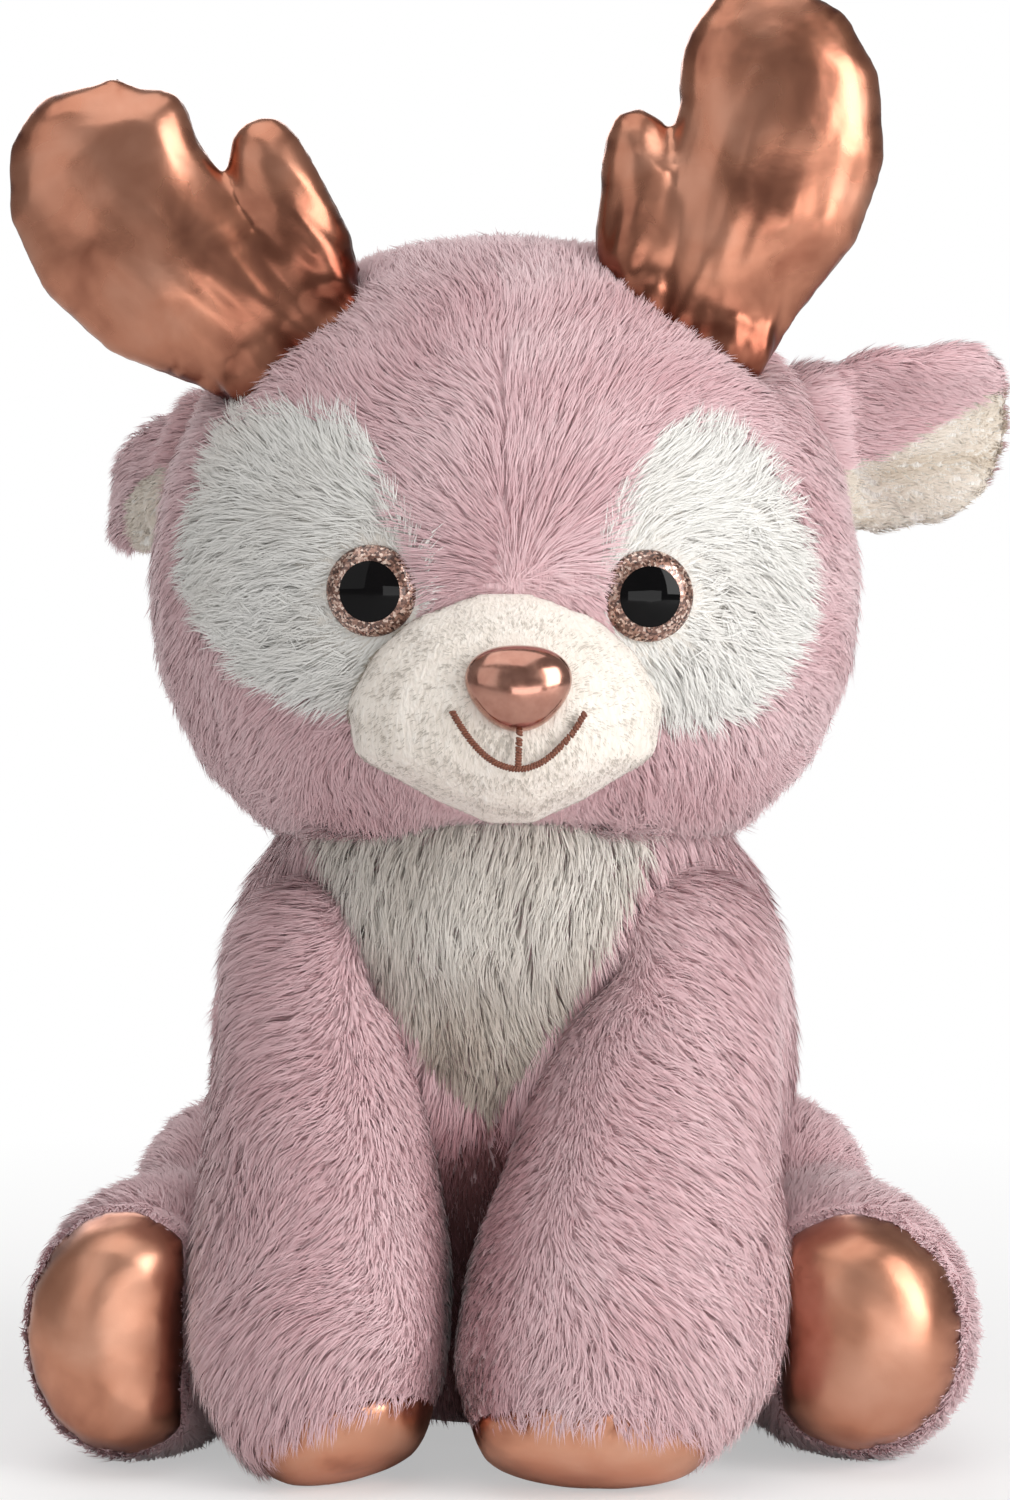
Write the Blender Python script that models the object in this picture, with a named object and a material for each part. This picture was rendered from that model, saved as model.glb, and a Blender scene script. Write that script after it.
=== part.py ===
"""A seated plush deer of long pile cloth, with padded foil antlers and soles.

Metres, +Z up, face towards -Y, so the toy's own left is +X. The origin is on the floor under its middle.
Every cloth cover is a thin shell round its own stuffing. Limbs, head, ears, antlers and tail turn at their
sewn seams, and each root there is round about its hinge, in a socket of the same shape.
"""

import math

import bmesh
import bpy
from mathutils import Matrix, Vector
from mathutils.bvhtree import BVHTree

# Cloth, clearances and how finely each form is divided
GAP = 0.0003
SWEEP_ROOM = 0.0005
PLUSH_WALL = 0.0035
SHORT_PILE_WALL = 0.0022
FOIL_WALL = 0.0016
FLOOR_CUT = 0.0005
OVERRUN = 0.300
VOLUME_SLACK_SHARE = 0.0001
FINE = 18
COARSE = 10
FINE_RINGS = 10
COARSE_RINGS = 7
LIMB_FINE = 14
LIMB_COARSE = 8
LIMB_FINE_RINGS = 8
LIMB_COARSE_RINGS = 6
BALL_RINGS = 6
HOLE_POINTS = 10
BEND_ANGLE = math.radians(40)

# Head: an egg that is wider than it is high
HEAD_WIDTH = 0.197
HEAD_HEIGHT = 0.181
HEAD_DEPTH = 0.160
HEAD_BASE_HEIGHT = 0.152
HEAD_FORWARD = 0.002
HEAD_FULLNESS = 2.25
HEAD_SHARES = [
    # up the head, width, depth, forward offset of depth
    (0.00, 1.04, 1.00, 0.00),
    (0.22, 1.01, 1.00, 0.02),
    (0.45, 1.00, 1.00, 0.02),
    (0.70, 0.96, 1.00, 0.00),
    (0.88, 0.91, 0.98, -0.02),
    (1.00, 0.88, 0.95, -0.02),
]

# Body: a pear that stands on its seat, with a round dome inside the neck
BODY_WIDTH = 0.160
BODY_DEPTH = 0.138
BODY_HEIGHT = 0.178
BODY_BACK = 0.006
BODY_FULLNESS = 3.2
BODY_SHARES = [
    # up the body, width, depth, backward offset of depth; its lowest point is over the origin
    (0.00, 0.90, 0.94, -BODY_BACK / BODY_DEPTH),
    (0.30, 0.98, 1.00, 0.02),
    (0.52, 1.01, 0.98, 0.00),
    (0.75, 1.00, 0.90, 0.00),
    (0.90, 1.02, 0.84, 0.00),
    (1.00, 1.04, 0.80, 0.00),
]
NECK_HEIGHT = 0.141
NECK_RADIUS = 0.067
NECK_PLUG_RADIUS = 0.023
NECK_PLUG_DEPTH = 0.020
KNUCKLE_REACH = 0.006
KNUCKLE_POINTS = 36
NOD_ROOM = 0.012
PELLET_BAG_WIDTH = 0.088
PELLET_BAG_DEPTH = 0.094
PELLET_BAG_HEIGHT = 0.042
PELLET_BAG_SINK = 0.0030

# White panels round the eyes: middle across, middle up the head, size, and outline
PATCH_SPREAD = 0.0555
PATCH_HEIGHT = 0.0820
PATCH_WIDTH = 0.0590
PATCH_UP_SHARE = 0.505
PATCH_OUTLINE_SHARES = [
    # outwards, up
    (-0.50, 0.00),
    (-0.42, 0.26),
    (-0.22, 0.46),
    (0.08, 0.50),
    (0.36, 0.34),
    (0.50, 0.06),
    (0.46, -0.24),
    (0.26, -0.45),
    (-0.06, -0.50),
    (-0.34, -0.36),
]

# Bib on the chest
BIB_WIDTH = 0.084
BIB_HEIGHT = 0.074
BIB_TIP_HEIGHT = 0.096
BIB_ASIDE = -0.004
BIB_OUTLINE_SHARES = [
    (-0.50, 1.00),
    (-0.42, 0.62),
    (-0.22, 0.26),
    (0.00, 0.00),
    (0.20, 0.26),
    (0.40, 0.62),
    (0.50, 1.00),
]

# Muzzle, nose and mouth
MUZZLE_WIDTH = 0.084
MUZZLE_HEIGHT = 0.066
MUZZLE_LENGTH = 0.064
MUZZLE_REACH = 0.027
MUZZLE_UP_SHARE = 0.315
MUZZLE_DROP = 0.004
MUZZLE_FULLNESS = 2.3
MUZZLE_TAPER_SHARE = 0.14
MUZZLE_SHARES = [
    # from back to front, width, height, upward offset of height
    (0.00, 1.00, 1.00, 0.04),
    (0.55, 1.00, 1.00, 0.00),
    (0.80, 0.96, 0.94, -0.02),
    (1.00, 0.88, 0.86, -0.06),
]
NOSE_WIDTH = 0.0275
NOSE_HEIGHT = 0.0225
NOSE_THICKNESS = 0.0110
NOSE_ASIDE = 0.0035
NOSE_UP = 0.0035
NOSE_SINK = 0.0020
NOSE_CORNER_SHARE = 0.06
NOSE_SHARES = [
    # from back to front, size
    (0.00, 0.90),
    (0.25, 1.00),
    (0.60, 0.90),
    (0.85, 0.62),
    (1.00, 0.25),
]
STEM_RADIUS = 0.0026
STEM_LENGTH = 0.0165
HOLE_DEPTH = 0.0300
WASHER_RADIUS = 0.0085
WASHER_THICKNESS = 0.0018
WASHER_STANDOFF = 0.0060
THREAD_RADIUS = 0.0007
MOUTH_WIDTH = 0.0310
MOUTH_DROP = 0.0150
MOUTH_HEIGHT = 0.0150
MOUTH_UP = -0.0090
MOUTH_LIFT = 0.0005
MOUTH_POINTS = 9
UPRIGHT_SHARES = (0.36, 0.68, 1.0)

# Eyes: a black button inside a glitter ring
EYE_SPACING = 0.0735
EYE_ASIDE = 0.0013
EYE_UP_SHARE = 0.465
EYE_TILT = 0.0007
EYE_RADIUS = 0.0123
EYE_PUPIL_RADIUS = 0.0081
EYE_DOME = 0.0052
EYE_RING_DOME = 0.0034
EYE_SINK = 0.0016
EYE_BACK_THICKNESS = 0.0016
EYE_POINTS = 14
EYE_FACING_SHARE = 0.45

# Ears: a cupped leaf, furry behind and lined in front, on a round-ended roll along its seam
EAR_LENGTH = 0.058
EAR_ROOT_DEPTH = 0.014
EAR_BACK_THICKNESS = 0.0090
EAR_LINING_THICKNESS = 0.0034
EAR_LINING_SHARE = 0.84
EAR_LINING_LENGTH_SHARE = 0.90
EAR_CUP = 0.014
EAR_ROOT_RADIUS = 0.0088
EAR_ROOT_SHARE = 0.84
EAR_ROOT_OUT = 0.0010
EAR_FULLNESS = 2.5
EAR_POINTS = 12
FLAP_ANGLES = [math.radians(-12), math.radians(-6), math.radians(12)]
EAR_SHARES = [
    # along the ear, width, thickness
    (0.00, 0.84, 1.00),
    (0.30, 1.00, 1.00),
    (0.60, 1.00, 0.95),
    (0.85, 0.90, 0.90),
    (1.00, 0.80, 0.80),
]
EAR_LEFT_WIDTH = 0.060
EAR_RIGHT_WIDTH = 0.056
EAR_LEFT = {
    "base_share": (0.86, 0.12, 0.31),
    "out": (0.96, 0.12, 0.21),
    "face": (0.10, -0.86, -0.50),
    "width": EAR_LEFT_WIDTH,
    "tip_share": 1.0,
}
EAR_RIGHT = {
    "base_share": (-0.86, 0.14, 0.25),
    "out": (-0.46, 0.86, -0.22),
    "face": (-0.80, -0.28, 0.42),
    "width": EAR_RIGHT_WIDTH,
    "tip_share": 0.62,
}

# Antlers: padded mittens with one broad lobe and one small tine
ANTLER_LENGTH = 0.099
ANTLER_LOBE_WIDTH = 0.057
ANTLER_BASE_WIDTH = 0.0450
ANTLER_THICKNESS = 0.029
ANTLER_TINE_LENGTH = 0.0575
ANTLER_TINE_WIDTH = 0.025
ANTLER_TINE_ASIDE = -0.0125
ANTLER_TINE_THICKNESS = 0.020
ANTLER_ROOT_RADIUS = 0.0132
ANTLER_ROOT_DEPTH = 0.030
ANTLER_SINK = 0.0045
ANTLER_FORWARD = 0.0240
ANTLER_LEFT_SPREAD = 0.0520
ANTLER_RIGHT_SPREAD = 0.0585
ANTLER_LEFT = {
    "spread": ANTLER_LEFT_SPREAD,
    "seam_tilt": math.radians(28),
    "tilt": math.radians(15.5),
    "tine_tilt": math.radians(-18),
}
ANTLER_RIGHT = {
    "spread": ANTLER_RIGHT_SPREAD,
    "seam_tilt": math.radians(40),
    "tilt": math.radians(44.5),
    "tine_tilt": math.radians(-24),
}
ANTLER_FULLNESS = 3.0
SWAY_ANGLES = [math.radians(-10), math.radians(10)]
LOBE_SHARES = [
    # along the lobe from below its seam, width, thickness, outward offset
    (0.00, 0.80, 0.74, 0.01),
    (0.26, 0.86, 0.78, 0.01),
    (0.48, 1.01, 0.98, 0.15),
    (0.70, 1.04, 1.00, 0.17),
    (0.85, 1.05, 0.95, 0.10),
    (1.00, 1.05, 0.85, -0.03),
]
TINE_SHARES = [
    (0.00, 1.25, 1.10, 0.00),
    (0.50, 1.10, 1.05, 0.04),
    (0.80, 0.98, 0.95, 0.02),
    (1.00, 0.90, 0.85, 0.00),
]

# Front legs: round shoulder, slanting limb and round foot with a foil sole
LEG_FULLNESS = 3.0
LEG_START = 0.050
SWING_ANGLES = [math.radians(11), math.radians(22), math.radians(33)]
ROOT_CUT_SHARE = 0.13
SHOULDER_HEIGHT = 0.1290
SHOULDER_FORWARD = 0.0260
FRONT_LEFT_SPREAD = 0.0465
FRONT_LEFT_RADIUS = 0.0290
FRONT_LEFT_FOOT_ASIDE = 0.0270
FRONT_LEFT_FOOT_FORWARD = 0.0960
FRONT_LEFT_WIDTH = 0.078
FRONT_LEFT_DEPTH = 0.074
FRONT_LEFT = {
    "shoulder": FRONT_LEFT_SPREAD,
    "radius": FRONT_LEFT_RADIUS,
    "foot": (FRONT_LEFT_FOOT_ASIDE, -FRONT_LEFT_FOOT_FORWARD),
    "width": FRONT_LEFT_WIDTH,
    "depth": FRONT_LEFT_DEPTH,
    "sole_facing": (-0.06, -0.42, -0.90),
}
FRONT_RIGHT_SPREAD = 0.0510
FRONT_RIGHT_RADIUS = 0.0255
FRONT_RIGHT_FOOT_ASIDE = 0.0480
FRONT_RIGHT_FOOT_FORWARD = 0.0900
FRONT_RIGHT_WIDTH = 0.067
FRONT_RIGHT_DEPTH = 0.070
FRONT_RIGHT = {
    "shoulder": FRONT_RIGHT_SPREAD,
    "radius": FRONT_RIGHT_RADIUS,
    "foot": (-FRONT_RIGHT_FOOT_ASIDE, -FRONT_RIGHT_FOOT_FORWARD),
    "width": FRONT_RIGHT_WIDTH,
    "depth": FRONT_RIGHT_DEPTH,
    "sole_facing": (0.26, -0.38, -0.88),
}
SOLE_DEPTH = 0.0110
FRONT_LEG_SHARES = [
    # from above the shoulder to the foot, growth of width and depth from the shoulder's to the foot's
    (0.00, 0.00, 0.00),
    (0.30, 0.05, 0.05),
    (0.60, 0.75, 0.65),
    (0.80, 1.00, 1.00),
    (1.00, 1.00, 1.00),
]

# Hind legs: round thigh on the floor, foot pointing forward with a foil pad on its end
HIP_RADIUS = 0.0450
HIP_THICKNESS = 0.0520
HIP_BACK = 0.0070
HIP_SPREAD = 0.0790
HIP_START_SHARE = 0.60
HIND_HEIGHT = 0.074
HIND_LEFT_ASIDE = 0.1040
HIND_LEFT_FORWARD = 0.0940
HIND_LEFT_WIDTH = 0.064
HIND_LEFT_PARTING = 0.0225
HIND_LEFT = {
    "foot": (HIND_LEFT_ASIDE, -HIND_LEFT_FORWARD),
    "width": HIND_LEFT_WIDTH,
    "height": HIND_HEIGHT,
    "pad_facing": (-0.22, -1.0, 0.06),
    "parting": -HIND_LEFT_PARTING,
}
HIND_RIGHT_ASIDE = 0.1100
HIND_RIGHT_FORWARD = 0.0960
HIND_RIGHT_WIDTH = 0.058
HIND_RIGHT_PARTING = 0.0170
HIND_RIGHT = {
    "foot": (-HIND_RIGHT_ASIDE, -HIND_RIGHT_FORWARD),
    "width": HIND_RIGHT_WIDTH,
    "height": HIND_HEIGHT,
    "pad_facing": (-0.10, -1.0, 0.06),
    "parting": -HIND_RIGHT_PARTING,
}
PAD_DEPTH = 0.0175
HIND_FULLNESS = 3.3
LIFT_ANGLES = [math.radians(7), math.radians(14)]
HIND_LEG_SHARES = [
    # from hip to foot end, width, height
    (0.00, 0.80, 0.90, 0.0),
    (0.40, 0.90, 0.96, 0.0),
    (0.75, 1.00, 1.00, 0.0),
    (1.00, 0.98, 1.00, 0.0),
]

# Tail
TAIL_LENGTH = 0.040
TAIL_WIDTH = 0.030
TAIL_THICKNESS = 0.024
TAIL_HEIGHT = 0.052
TAIL_RISE = math.radians(25)
TAIL_ROOT_RADIUS = 0.0100
TAIL_FULLNESS = 2.1
WAG_ANGLES = [math.radians(-10), math.radians(8), math.radians(16)]
TAIL_SHARES = [
    (0.00, 0.92, 0.92, 0.0),
    (0.50, 1.00, 1.00, 0.0),
    (1.00, 0.80, 0.80, 0.0),
]

HALF = 1 / 2
ROLL_SHARES = [
    # radius and half length of the round-ended roll at the root of an ear or an antler
    (0.00, -1.00),
    (0.62, -0.98),
    (0.90, -0.88),
    (1.00, -0.66),
    (1.00, 0.66),
    (0.90, 0.88),
    (0.62, 0.98),
    (0.00, 1.00),
]
X = Vector((1, 0, 0))
Y = Vector((0, 1, 0))
Z = Vector((0, 0, 1))


def clear_scene():
    for thing in list(bpy.data.objects):
        bpy.data.objects.remove(thing)


def finish(name, colour, roughness, metallic=0.0):
    material = bpy.data.materials.new(name)
    material.use_nodes = True
    shader = material.node_tree.nodes["Principled BSDF"]
    shader.inputs["Base Color"].default_value = (*colour, 1)
    shader.inputs["Roughness"].default_value = roughness
    shader.inputs["Metallic"].default_value = metallic
    material.diffuse_color = (*colour, 1)
    return material


def add(name, mesh):
    thing = bpy.data.objects.new(name, mesh)
    bpy.context.collection.objects.link(thing)
    return thing


def curve_between(stations, share):
    """The stations' values at this share of the way, on a smooth curve through all of them."""
    last = len(stations) - 1
    low = next((i for i in range(last) if share <= stations[i + 1][0]), last - 1)
    before, start, end, after = (stations[max(0, min(last, i))] for i in (low - 1, low, low + 1, low + 2))
    span = end[0] - start[0]
    t = (share - start[0]) / span
    weights = (2 * t**3 - 3 * t**2 + 1, 3 * t**2 - 2 * t**3, t**3 - 2 * t**2 + t, t**3 - t**2)
    values = []
    for i in range(1, len(start)):
        slope_in = (end[i] - before[i]) / (end[0] - before[0])
        slope_out = (after[i] - start[i]) / (after[0] - start[0])
        ends = (start[i], end[i], slope_in * span, slope_out * span)
        values.append(sum(w * v for w, v in zip(weights, ends)))
    return values


def skin(name, rings, first, last, split=False):
    """A closed mesh over rings of points, from one end point to the other. split cuts its faces into triangles,
    the same way each time, so that one inset of a form stays inside another."""
    mesh = bpy.data.meshes.new(name)
    shape = bmesh.new()
    loops = [[shape.verts.new(point) for point in ring] for ring in rings]
    tips = shape.verts.new(first), shape.verts.new(last)
    count = len(rings[0])
    for i in range(count):
        following = (i + 1) % count
        shape.faces.new((tips[0], loops[0][following], loops[0][i]))
        shape.faces.new((tips[1], loops[-1][i], loops[-1][following]))
        for low, high in zip(loops, loops[1:]):
            shape.faces.new((low[i], low[following], high[following], high[i]))
    bmesh.ops.recalc_face_normals(shape, faces=shape.faces)
    if split:
        bmesh.ops.triangulate(shape, faces=shape.faces, quad_method="FIXED")
    shape.to_mesh(mesh)
    shape.free()
    mesh.shade_smooth()
    return mesh


def swelling(name, place, across, up, shares, fullness, fine=True, grid=None, front_share=1.0, cup=0.0, taper=0.0):
    """A stuffed form round a spine: place(share) gives its middle, half width and half depth before the ends
    round off. fullness above 2 makes the ends blunter. front_share flattens the side against `up`."""
    count, steps = grid or ((FINE, FINE_RINGS) if fine else (COARSE, COARSE_RINGS))
    rings = []
    for step in range(1, steps):
        share = (1 - math.cos(math.pi * step / steps)) / 2
        roundness = (1 - abs(2 * share - 1) ** fullness) ** (1 / fullness)
        middle, half_width, half_depth = place(share, curve_between(shares, share))
        ring = []
        for i in range(count):
            turn = 2 * math.pi * i / count
            aside = math.cos(turn) * (1 - taper * math.sin(turn))
            rise = math.sin(turn) * (1.0 if math.sin(turn) > 0 else front_share)
            lift = half_depth * roundness * rise - cup * share * (aside * roundness) ** 2
            ring.append(middle + across * (half_width * roundness * aside) + up * lift)
        rings.append(ring)
    first = place(0.0, curve_between(shares, 0.0))[0]
    last = place(1.0, curve_between(shares, 1.0))[0]
    return add(name, skin(name, rings, first, last, split=not fine))


def limb(name, place, across, up, shares, fullness, fine):
    grid = (LIMB_FINE, LIMB_FINE_RINGS) if fine else (LIMB_COARSE, LIMB_COARSE_RINGS)
    return swelling(name, place, across, up, shares, fullness, fine, grid)


def inset(thing, amount):
    """Moves every point inwards along its normal, or outwards if amount is negative."""
    for point in thing.data.vertices:
        point.co -= point.normal * amount
    thing.data.update()
    return thing


def solid_volume(mesh):
    """The volume of a closed mesh, or zero if it is open or empty."""
    shape = bmesh.new()
    shape.from_mesh(mesh)
    closed = all(edge.is_manifold for edge in shape.edges)
    volume = shape.calc_volume(signed=True) if closed else 0.0
    shape.free()
    return volume


def boolean_mesh(thing, other, operation, solver):
    change = thing.modifiers.new(operation, "BOOLEAN")
    change.operation = operation
    change.object = other
    change.solver = solver
    mesh = bpy.data.meshes.new_from_object(thing.evaluated_get(bpy.context.evaluated_depsgraph_get()))
    thing.modifiers.remove(change)
    return mesh


def combine(thing, other, operation):
    """Applies one Boolean and removes the second shape. Where the exact solver loses part of the volume on
    nearly touching faces, the manifold solver does it."""
    first, second = solid_volume(thing.data), solid_volume(other.data)
    least = {"UNION": max(first, second), "DIFFERENCE": first - second, "INTERSECT": 0.0}[operation]
    most = {"UNION": first + second, "DIFFERENCE": first, "INTERSECT": min(first, second)}[operation]
    slack = VOLUME_SLACK_SHARE * max(first, second)
    mesh = boolean_mesh(thing, other, operation, "EXACT")
    volume = solid_volume(mesh)
    if volume <= 0 or not least - slack <= volume <= most + slack:
        mesh = boolean_mesh(thing, other, operation, "MANIFOLD")
    thing.data = mesh
    bpy.data.objects.remove(other)
    return thing


def less(thing, *others):
    for other in others:
        combine(thing, other, "DIFFERENCE")
    return thing


def with_all(thing, *others):
    for other in others:
        combine(thing, other, "UNION")
    return thing


def only(thing, other):
    return combine(thing, other, "INTERSECT")


def clear_of(form, make_other, pivot, axis, angles):
    """Cuts the form clear of another shape, at rest and as the form turns about the axis through each angle."""
    for angle in (0.0, *angles):
        other = make_other()
        back = Matrix.Rotation(-angle, 4, axis)
        other.data.transform(Matrix.Translation(pivot) @ back @ Matrix.Translation(-pivot))
        form = less(form, other)
    return form


def copy_of(thing):
    return add(thing.name + "_copy", thing.data.copy())


def basis(x_axis, y_axis, z_axis, centre):
    turned = Matrix((x_axis, y_axis, z_axis)).transposed().to_4x4()
    return Matrix.Translation(centre) @ turned


def facing(direction, centre):
    """A frame at centre whose Z looks along direction."""
    return Matrix.Translation(centre) @ direction.normalized().to_track_quat("Z", "Y").to_matrix().to_4x4()


def turned(name, frame, profile, points, closed=False):
    """A shape turned about its frame's Z axis from (radius, height) pairs. A closed profile is a ring's section."""
    angles = [2 * math.pi * i / points for i in range(points)]
    rings = [[frame @ Vector((r * math.cos(a), r * math.sin(a), h)) for a in angles] for r, h in profile]
    if not closed:
        return add(name, skin(name, rings[1:-1], frame @ (Z * profile[0][1]), frame @ (Z * profile[-1][1])))
    mesh = bpy.data.meshes.new(name)
    shape = bmesh.new()
    loops = [[shape.verts.new(point) for point in ring] for ring in rings]
    for low, high in zip(loops, loops[1:] + loops[:1]):
        for i in range(points):
            following = (i + 1) % points
            shape.faces.new((low[i], low[following], high[following], high[i]))
    bmesh.ops.recalc_face_normals(shape, faces=shape.faces)
    shape.to_mesh(mesh)
    shape.free()
    mesh.shade_smooth()
    return add(name, mesh)


def rod(name, frame, radius, low, high, points=COARSE):
    profile = [(0.0, low), (radius, low), (radius, high), (0.0, high)]
    return turned(name, frame, profile, points)


def ball(name, frame, radius, half_thickness, fine=True, growth=0.0):
    """A ball, or a thick disc with round sides, turned about its frame's Z axis. growth makes a socket for it,
    wide enough that the flats between its points clear the ball's own points."""
    points = LIMB_FINE if fine else LIMB_COARSE
    steps = BALL_RINGS
    clear = 1 / math.cos(math.pi / points) if growth > 0 else 1.0
    profile = []
    for step in range(steps + 1):
        turn = math.pi * step / steps
        wide = (radius + growth) * math.sin(turn) * clear
        profile.append((wide, -(half_thickness + growth) * math.cos(turn)))
    return turned(name, frame, profile, points)


def roll(name, frame, radius, half_length, growth=0.0):
    """A roll with round ends, turned about its frame's Z axis. growth makes a socket for it."""
    clear = 1 / math.cos(math.pi / COARSE) if growth > 0 else 1.0
    wide = (radius + growth) * clear
    long = half_length + growth * clear
    return turned(name, frame, [(r * wide, h * long) for r, h in ROLL_SHARES], COARSE)


def prism(name, outline, low_y, high_y):
    """A block along Y with an outline of (x, z) points."""
    mesh = bpy.data.meshes.new(name)
    shape = bmesh.new()
    face = shape.faces.new([shape.verts.new((x, low_y, z)) for x, z in outline])
    grown = bmesh.ops.extrude_face_region(shape, geom=[face])
    moved = [item for item in grown["geom"] if isinstance(item, bmesh.types.BMVert)]
    bmesh.ops.translate(shape, verts=moved, vec=Y * (high_y - low_y))
    bmesh.ops.recalc_face_normals(shape, faces=shape.faces)
    shape.to_mesh(mesh)
    shape.free()
    return add(name, mesh)


def beyond(name, direction, point):
    """A large block that fills everything on the far side of a flat cut through point."""
    mesh = bpy.data.meshes.new(name)
    shape = bmesh.new()
    bmesh.ops.create_cube(shape, size=OVERRUN)
    frame = facing(direction, point + direction.normalized() * (OVERRUN / 2))
    bmesh.ops.transform(shape, matrix=frame, verts=shape.verts)
    shape.to_mesh(mesh)
    shape.free()
    return add(name, mesh)


def spread_outline(outline, middle, amount):
    """The outline with each point moved straight away from the middle by about this amount."""
    moved = []
    for x, z in outline:
        away = Vector((x - middle[0], z - middle[1]))
        away += away.normalized() * amount
        moved.append((middle[0] + away.x, middle[1] + away.y))
    return moved


def head_form(depth=0.0, fine=True):
    def place(share, values):
        width, thickness, forward = values
        y = -HEAD_FORWARD - forward * HEAD_DEPTH
        middle = Vector((0, y, HEAD_BASE_HEIGHT + share * HEAD_HEIGHT))
        return middle, width * HEAD_WIDTH / 2, thickness * HEAD_DEPTH / 2

    return inset(swelling("head", place, X, Y, HEAD_SHARES, HEAD_FULLNESS, fine), depth)


def neck_centre():
    return Vector((0, BODY_BACK, NECK_HEIGHT))


def neck_ball(depth=0.0, growth=0.0, fine=True):
    radius = NECK_RADIUS - depth
    # A ball that turns about two axes needs room for its flats in both directions.
    room = growth + radius * (1 / math.cos(math.pi / (2 * BALL_RINGS)) - 1) if growth else 0.0
    return ball("neck_ball", Matrix.Translation(neck_centre()), radius, radius, fine, room)


def body_form(depth=0.0, fine=True):
    def place(share, values):
        width, thickness, back = values
        low = -FLOOR_CUT
        middle = Vector((0, BODY_BACK + back * BODY_DEPTH, low + share * BODY_HEIGHT))
        return middle, width * BODY_WIDTH / 2, thickness * BODY_DEPTH / 2

    form = inset(swelling("body", place, X, Y, BODY_SHARES, BODY_FULLNESS, fine), depth)
    return with_all(form, neck_ball(depth, fine=fine))


def surface_hit(form, start, direction):
    """Where a ray meets the form from outside, and the form's normal there."""
    tree = BVHTree.FromPolygons(
        [point.co for point in form.data.vertices], [face.vertices for face in form.data.polygons]
    )
    place, normal, _, _ = tree.ray_cast(start, direction.normalized())
    if normal.dot(direction) > 0:
        normal = -normal
    return place, normal


def front_hit(form, x, z):
    return surface_hit(form, Vector((x, -OVERRUN, z)), Y)


def outward_hit(form, centre, direction):
    far = centre + direction.normalized() * OVERRUN
    return surface_hit(form, far, -direction)


def side_name(sign):
    return "left" if sign > 0 else "right"


def joint(name, place, carrier=None):
    """A place that pieces turn about, carried by another joint if it rides on one."""
    empty = bpy.data.objects.new(name, None)
    empty.location = place
    empty.empty_display_size = WASHER_RADIUS
    bpy.context.collection.objects.link(empty)
    if carrier is not None:
        empty.parent = carrier
        empty.matrix_parent_inverse = Matrix.Translation(-carrier.location)
    return empty


def settle(thing, name, material, pivot=None):
    """Names a finished piece, gives it its material and hangs it on its joint, whose place is its origin."""
    thing.name = name
    thing.data.name = name
    thing.data.materials.clear()
    thing.data.materials.append(material)
    thing.data.shade_smooth()
    thing.data.set_sharp_from_angle(angle=BEND_ANGLE)
    if pivot is not None:
        thing.data.transform(Matrix.Translation(-pivot.location))
        thing.parent = pivot
    return thing


def patch_outline(sign):
    middle = (sign * PATCH_SPREAD, HEAD_BASE_HEIGHT + PATCH_UP_SHARE * HEAD_HEIGHT)
    outline = [
        (middle[0] + sign * out * PATCH_WIDTH, middle[1] + up * PATCH_HEIGHT) for out, up in PATCH_OUTLINE_SHARES
    ]
    return outline, middle


def eye_frame(head, sign):
    """The eye's place on the head, sunk a little, looking between straight ahead and square to the head."""
    x = EYE_ASIDE + sign * EYE_SPACING / 2
    z = HEAD_BASE_HEIGHT + EYE_UP_SHARE * HEAD_HEIGHT - sign * EYE_TILT
    place, normal = front_hit(head, x, z)
    look = normal.lerp(-Y, EYE_FACING_SHARE).normalized()
    return facing(look, place - look * EYE_SINK)


def eye_parts(frame, sign, wall):
    side = side_name(sign)
    pupil = [(0.0, EYE_BACK_THICKNESS + EYE_DOME)]
    for step in (1, 2, 3):
        turn = math.pi / 2 * step / 3
        radius = EYE_PUPIL_RADIUS * math.sin(turn)
        pupil.append((radius, EYE_BACK_THICKNESS + EYE_DOME * math.cos(turn)))
    stem_end = -wall - STEM_LENGTH
    pupil += [(EYE_PUPIL_RADIUS, 0.0), (STEM_RADIUS, 0.0), (STEM_RADIUS, stem_end), (0.0, stem_end)]
    inner = EYE_PUPIL_RADIUS + GAP
    middle = (inner + EYE_RADIUS) / 2
    ring = [
        (inner, 0.0),
        (EYE_RADIUS, 0.0),
        (EYE_RADIUS, EYE_BACK_THICKNESS),
        (middle, EYE_BACK_THICKNESS + EYE_RING_DOME / 2),
        (inner, EYE_BACK_THICKNESS + EYE_RING_DOME),
    ]
    black = turned("eye_" + side, frame, pupil, EYE_POINTS)
    glitter = turned("eye_glitter_" + side, frame, ring, EYE_POINTS, closed=True)
    washer = lock_washer("eye_washer_" + side, frame, wall)
    return black, glitter, washer


def washer_height(wall):
    return -wall - WASHER_STANDOFF


def lock_washer(name, frame, wall):
    top = washer_height(wall)
    bottom = top - WASHER_THICKNESS
    inner = STEM_RADIUS + GAP
    section = [(inner, bottom), (WASHER_RADIUS, bottom), (WASHER_RADIUS, top), (inner, top)]
    return turned(name, frame, section, EYE_POINTS, closed=True)


def stem_pocket(frame, wall):
    """Room in the stuffing for a stem, its end and its washer."""
    top = washer_height(wall) + GAP + OVERRUN / 2
    bottom = washer_height(wall) - WASHER_THICKNESS - GAP
    end = -wall - STEM_LENGTH - GAP
    wide = WASHER_RADIUS + GAP
    narrow = STEM_RADIUS + GAP
    profile = [(0.0, top), (wide, top), (wide, bottom), (narrow, bottom), (narrow, end), (0.0, end)]
    return turned("stem_pocket", frame, profile, EYE_POINTS)


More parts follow.
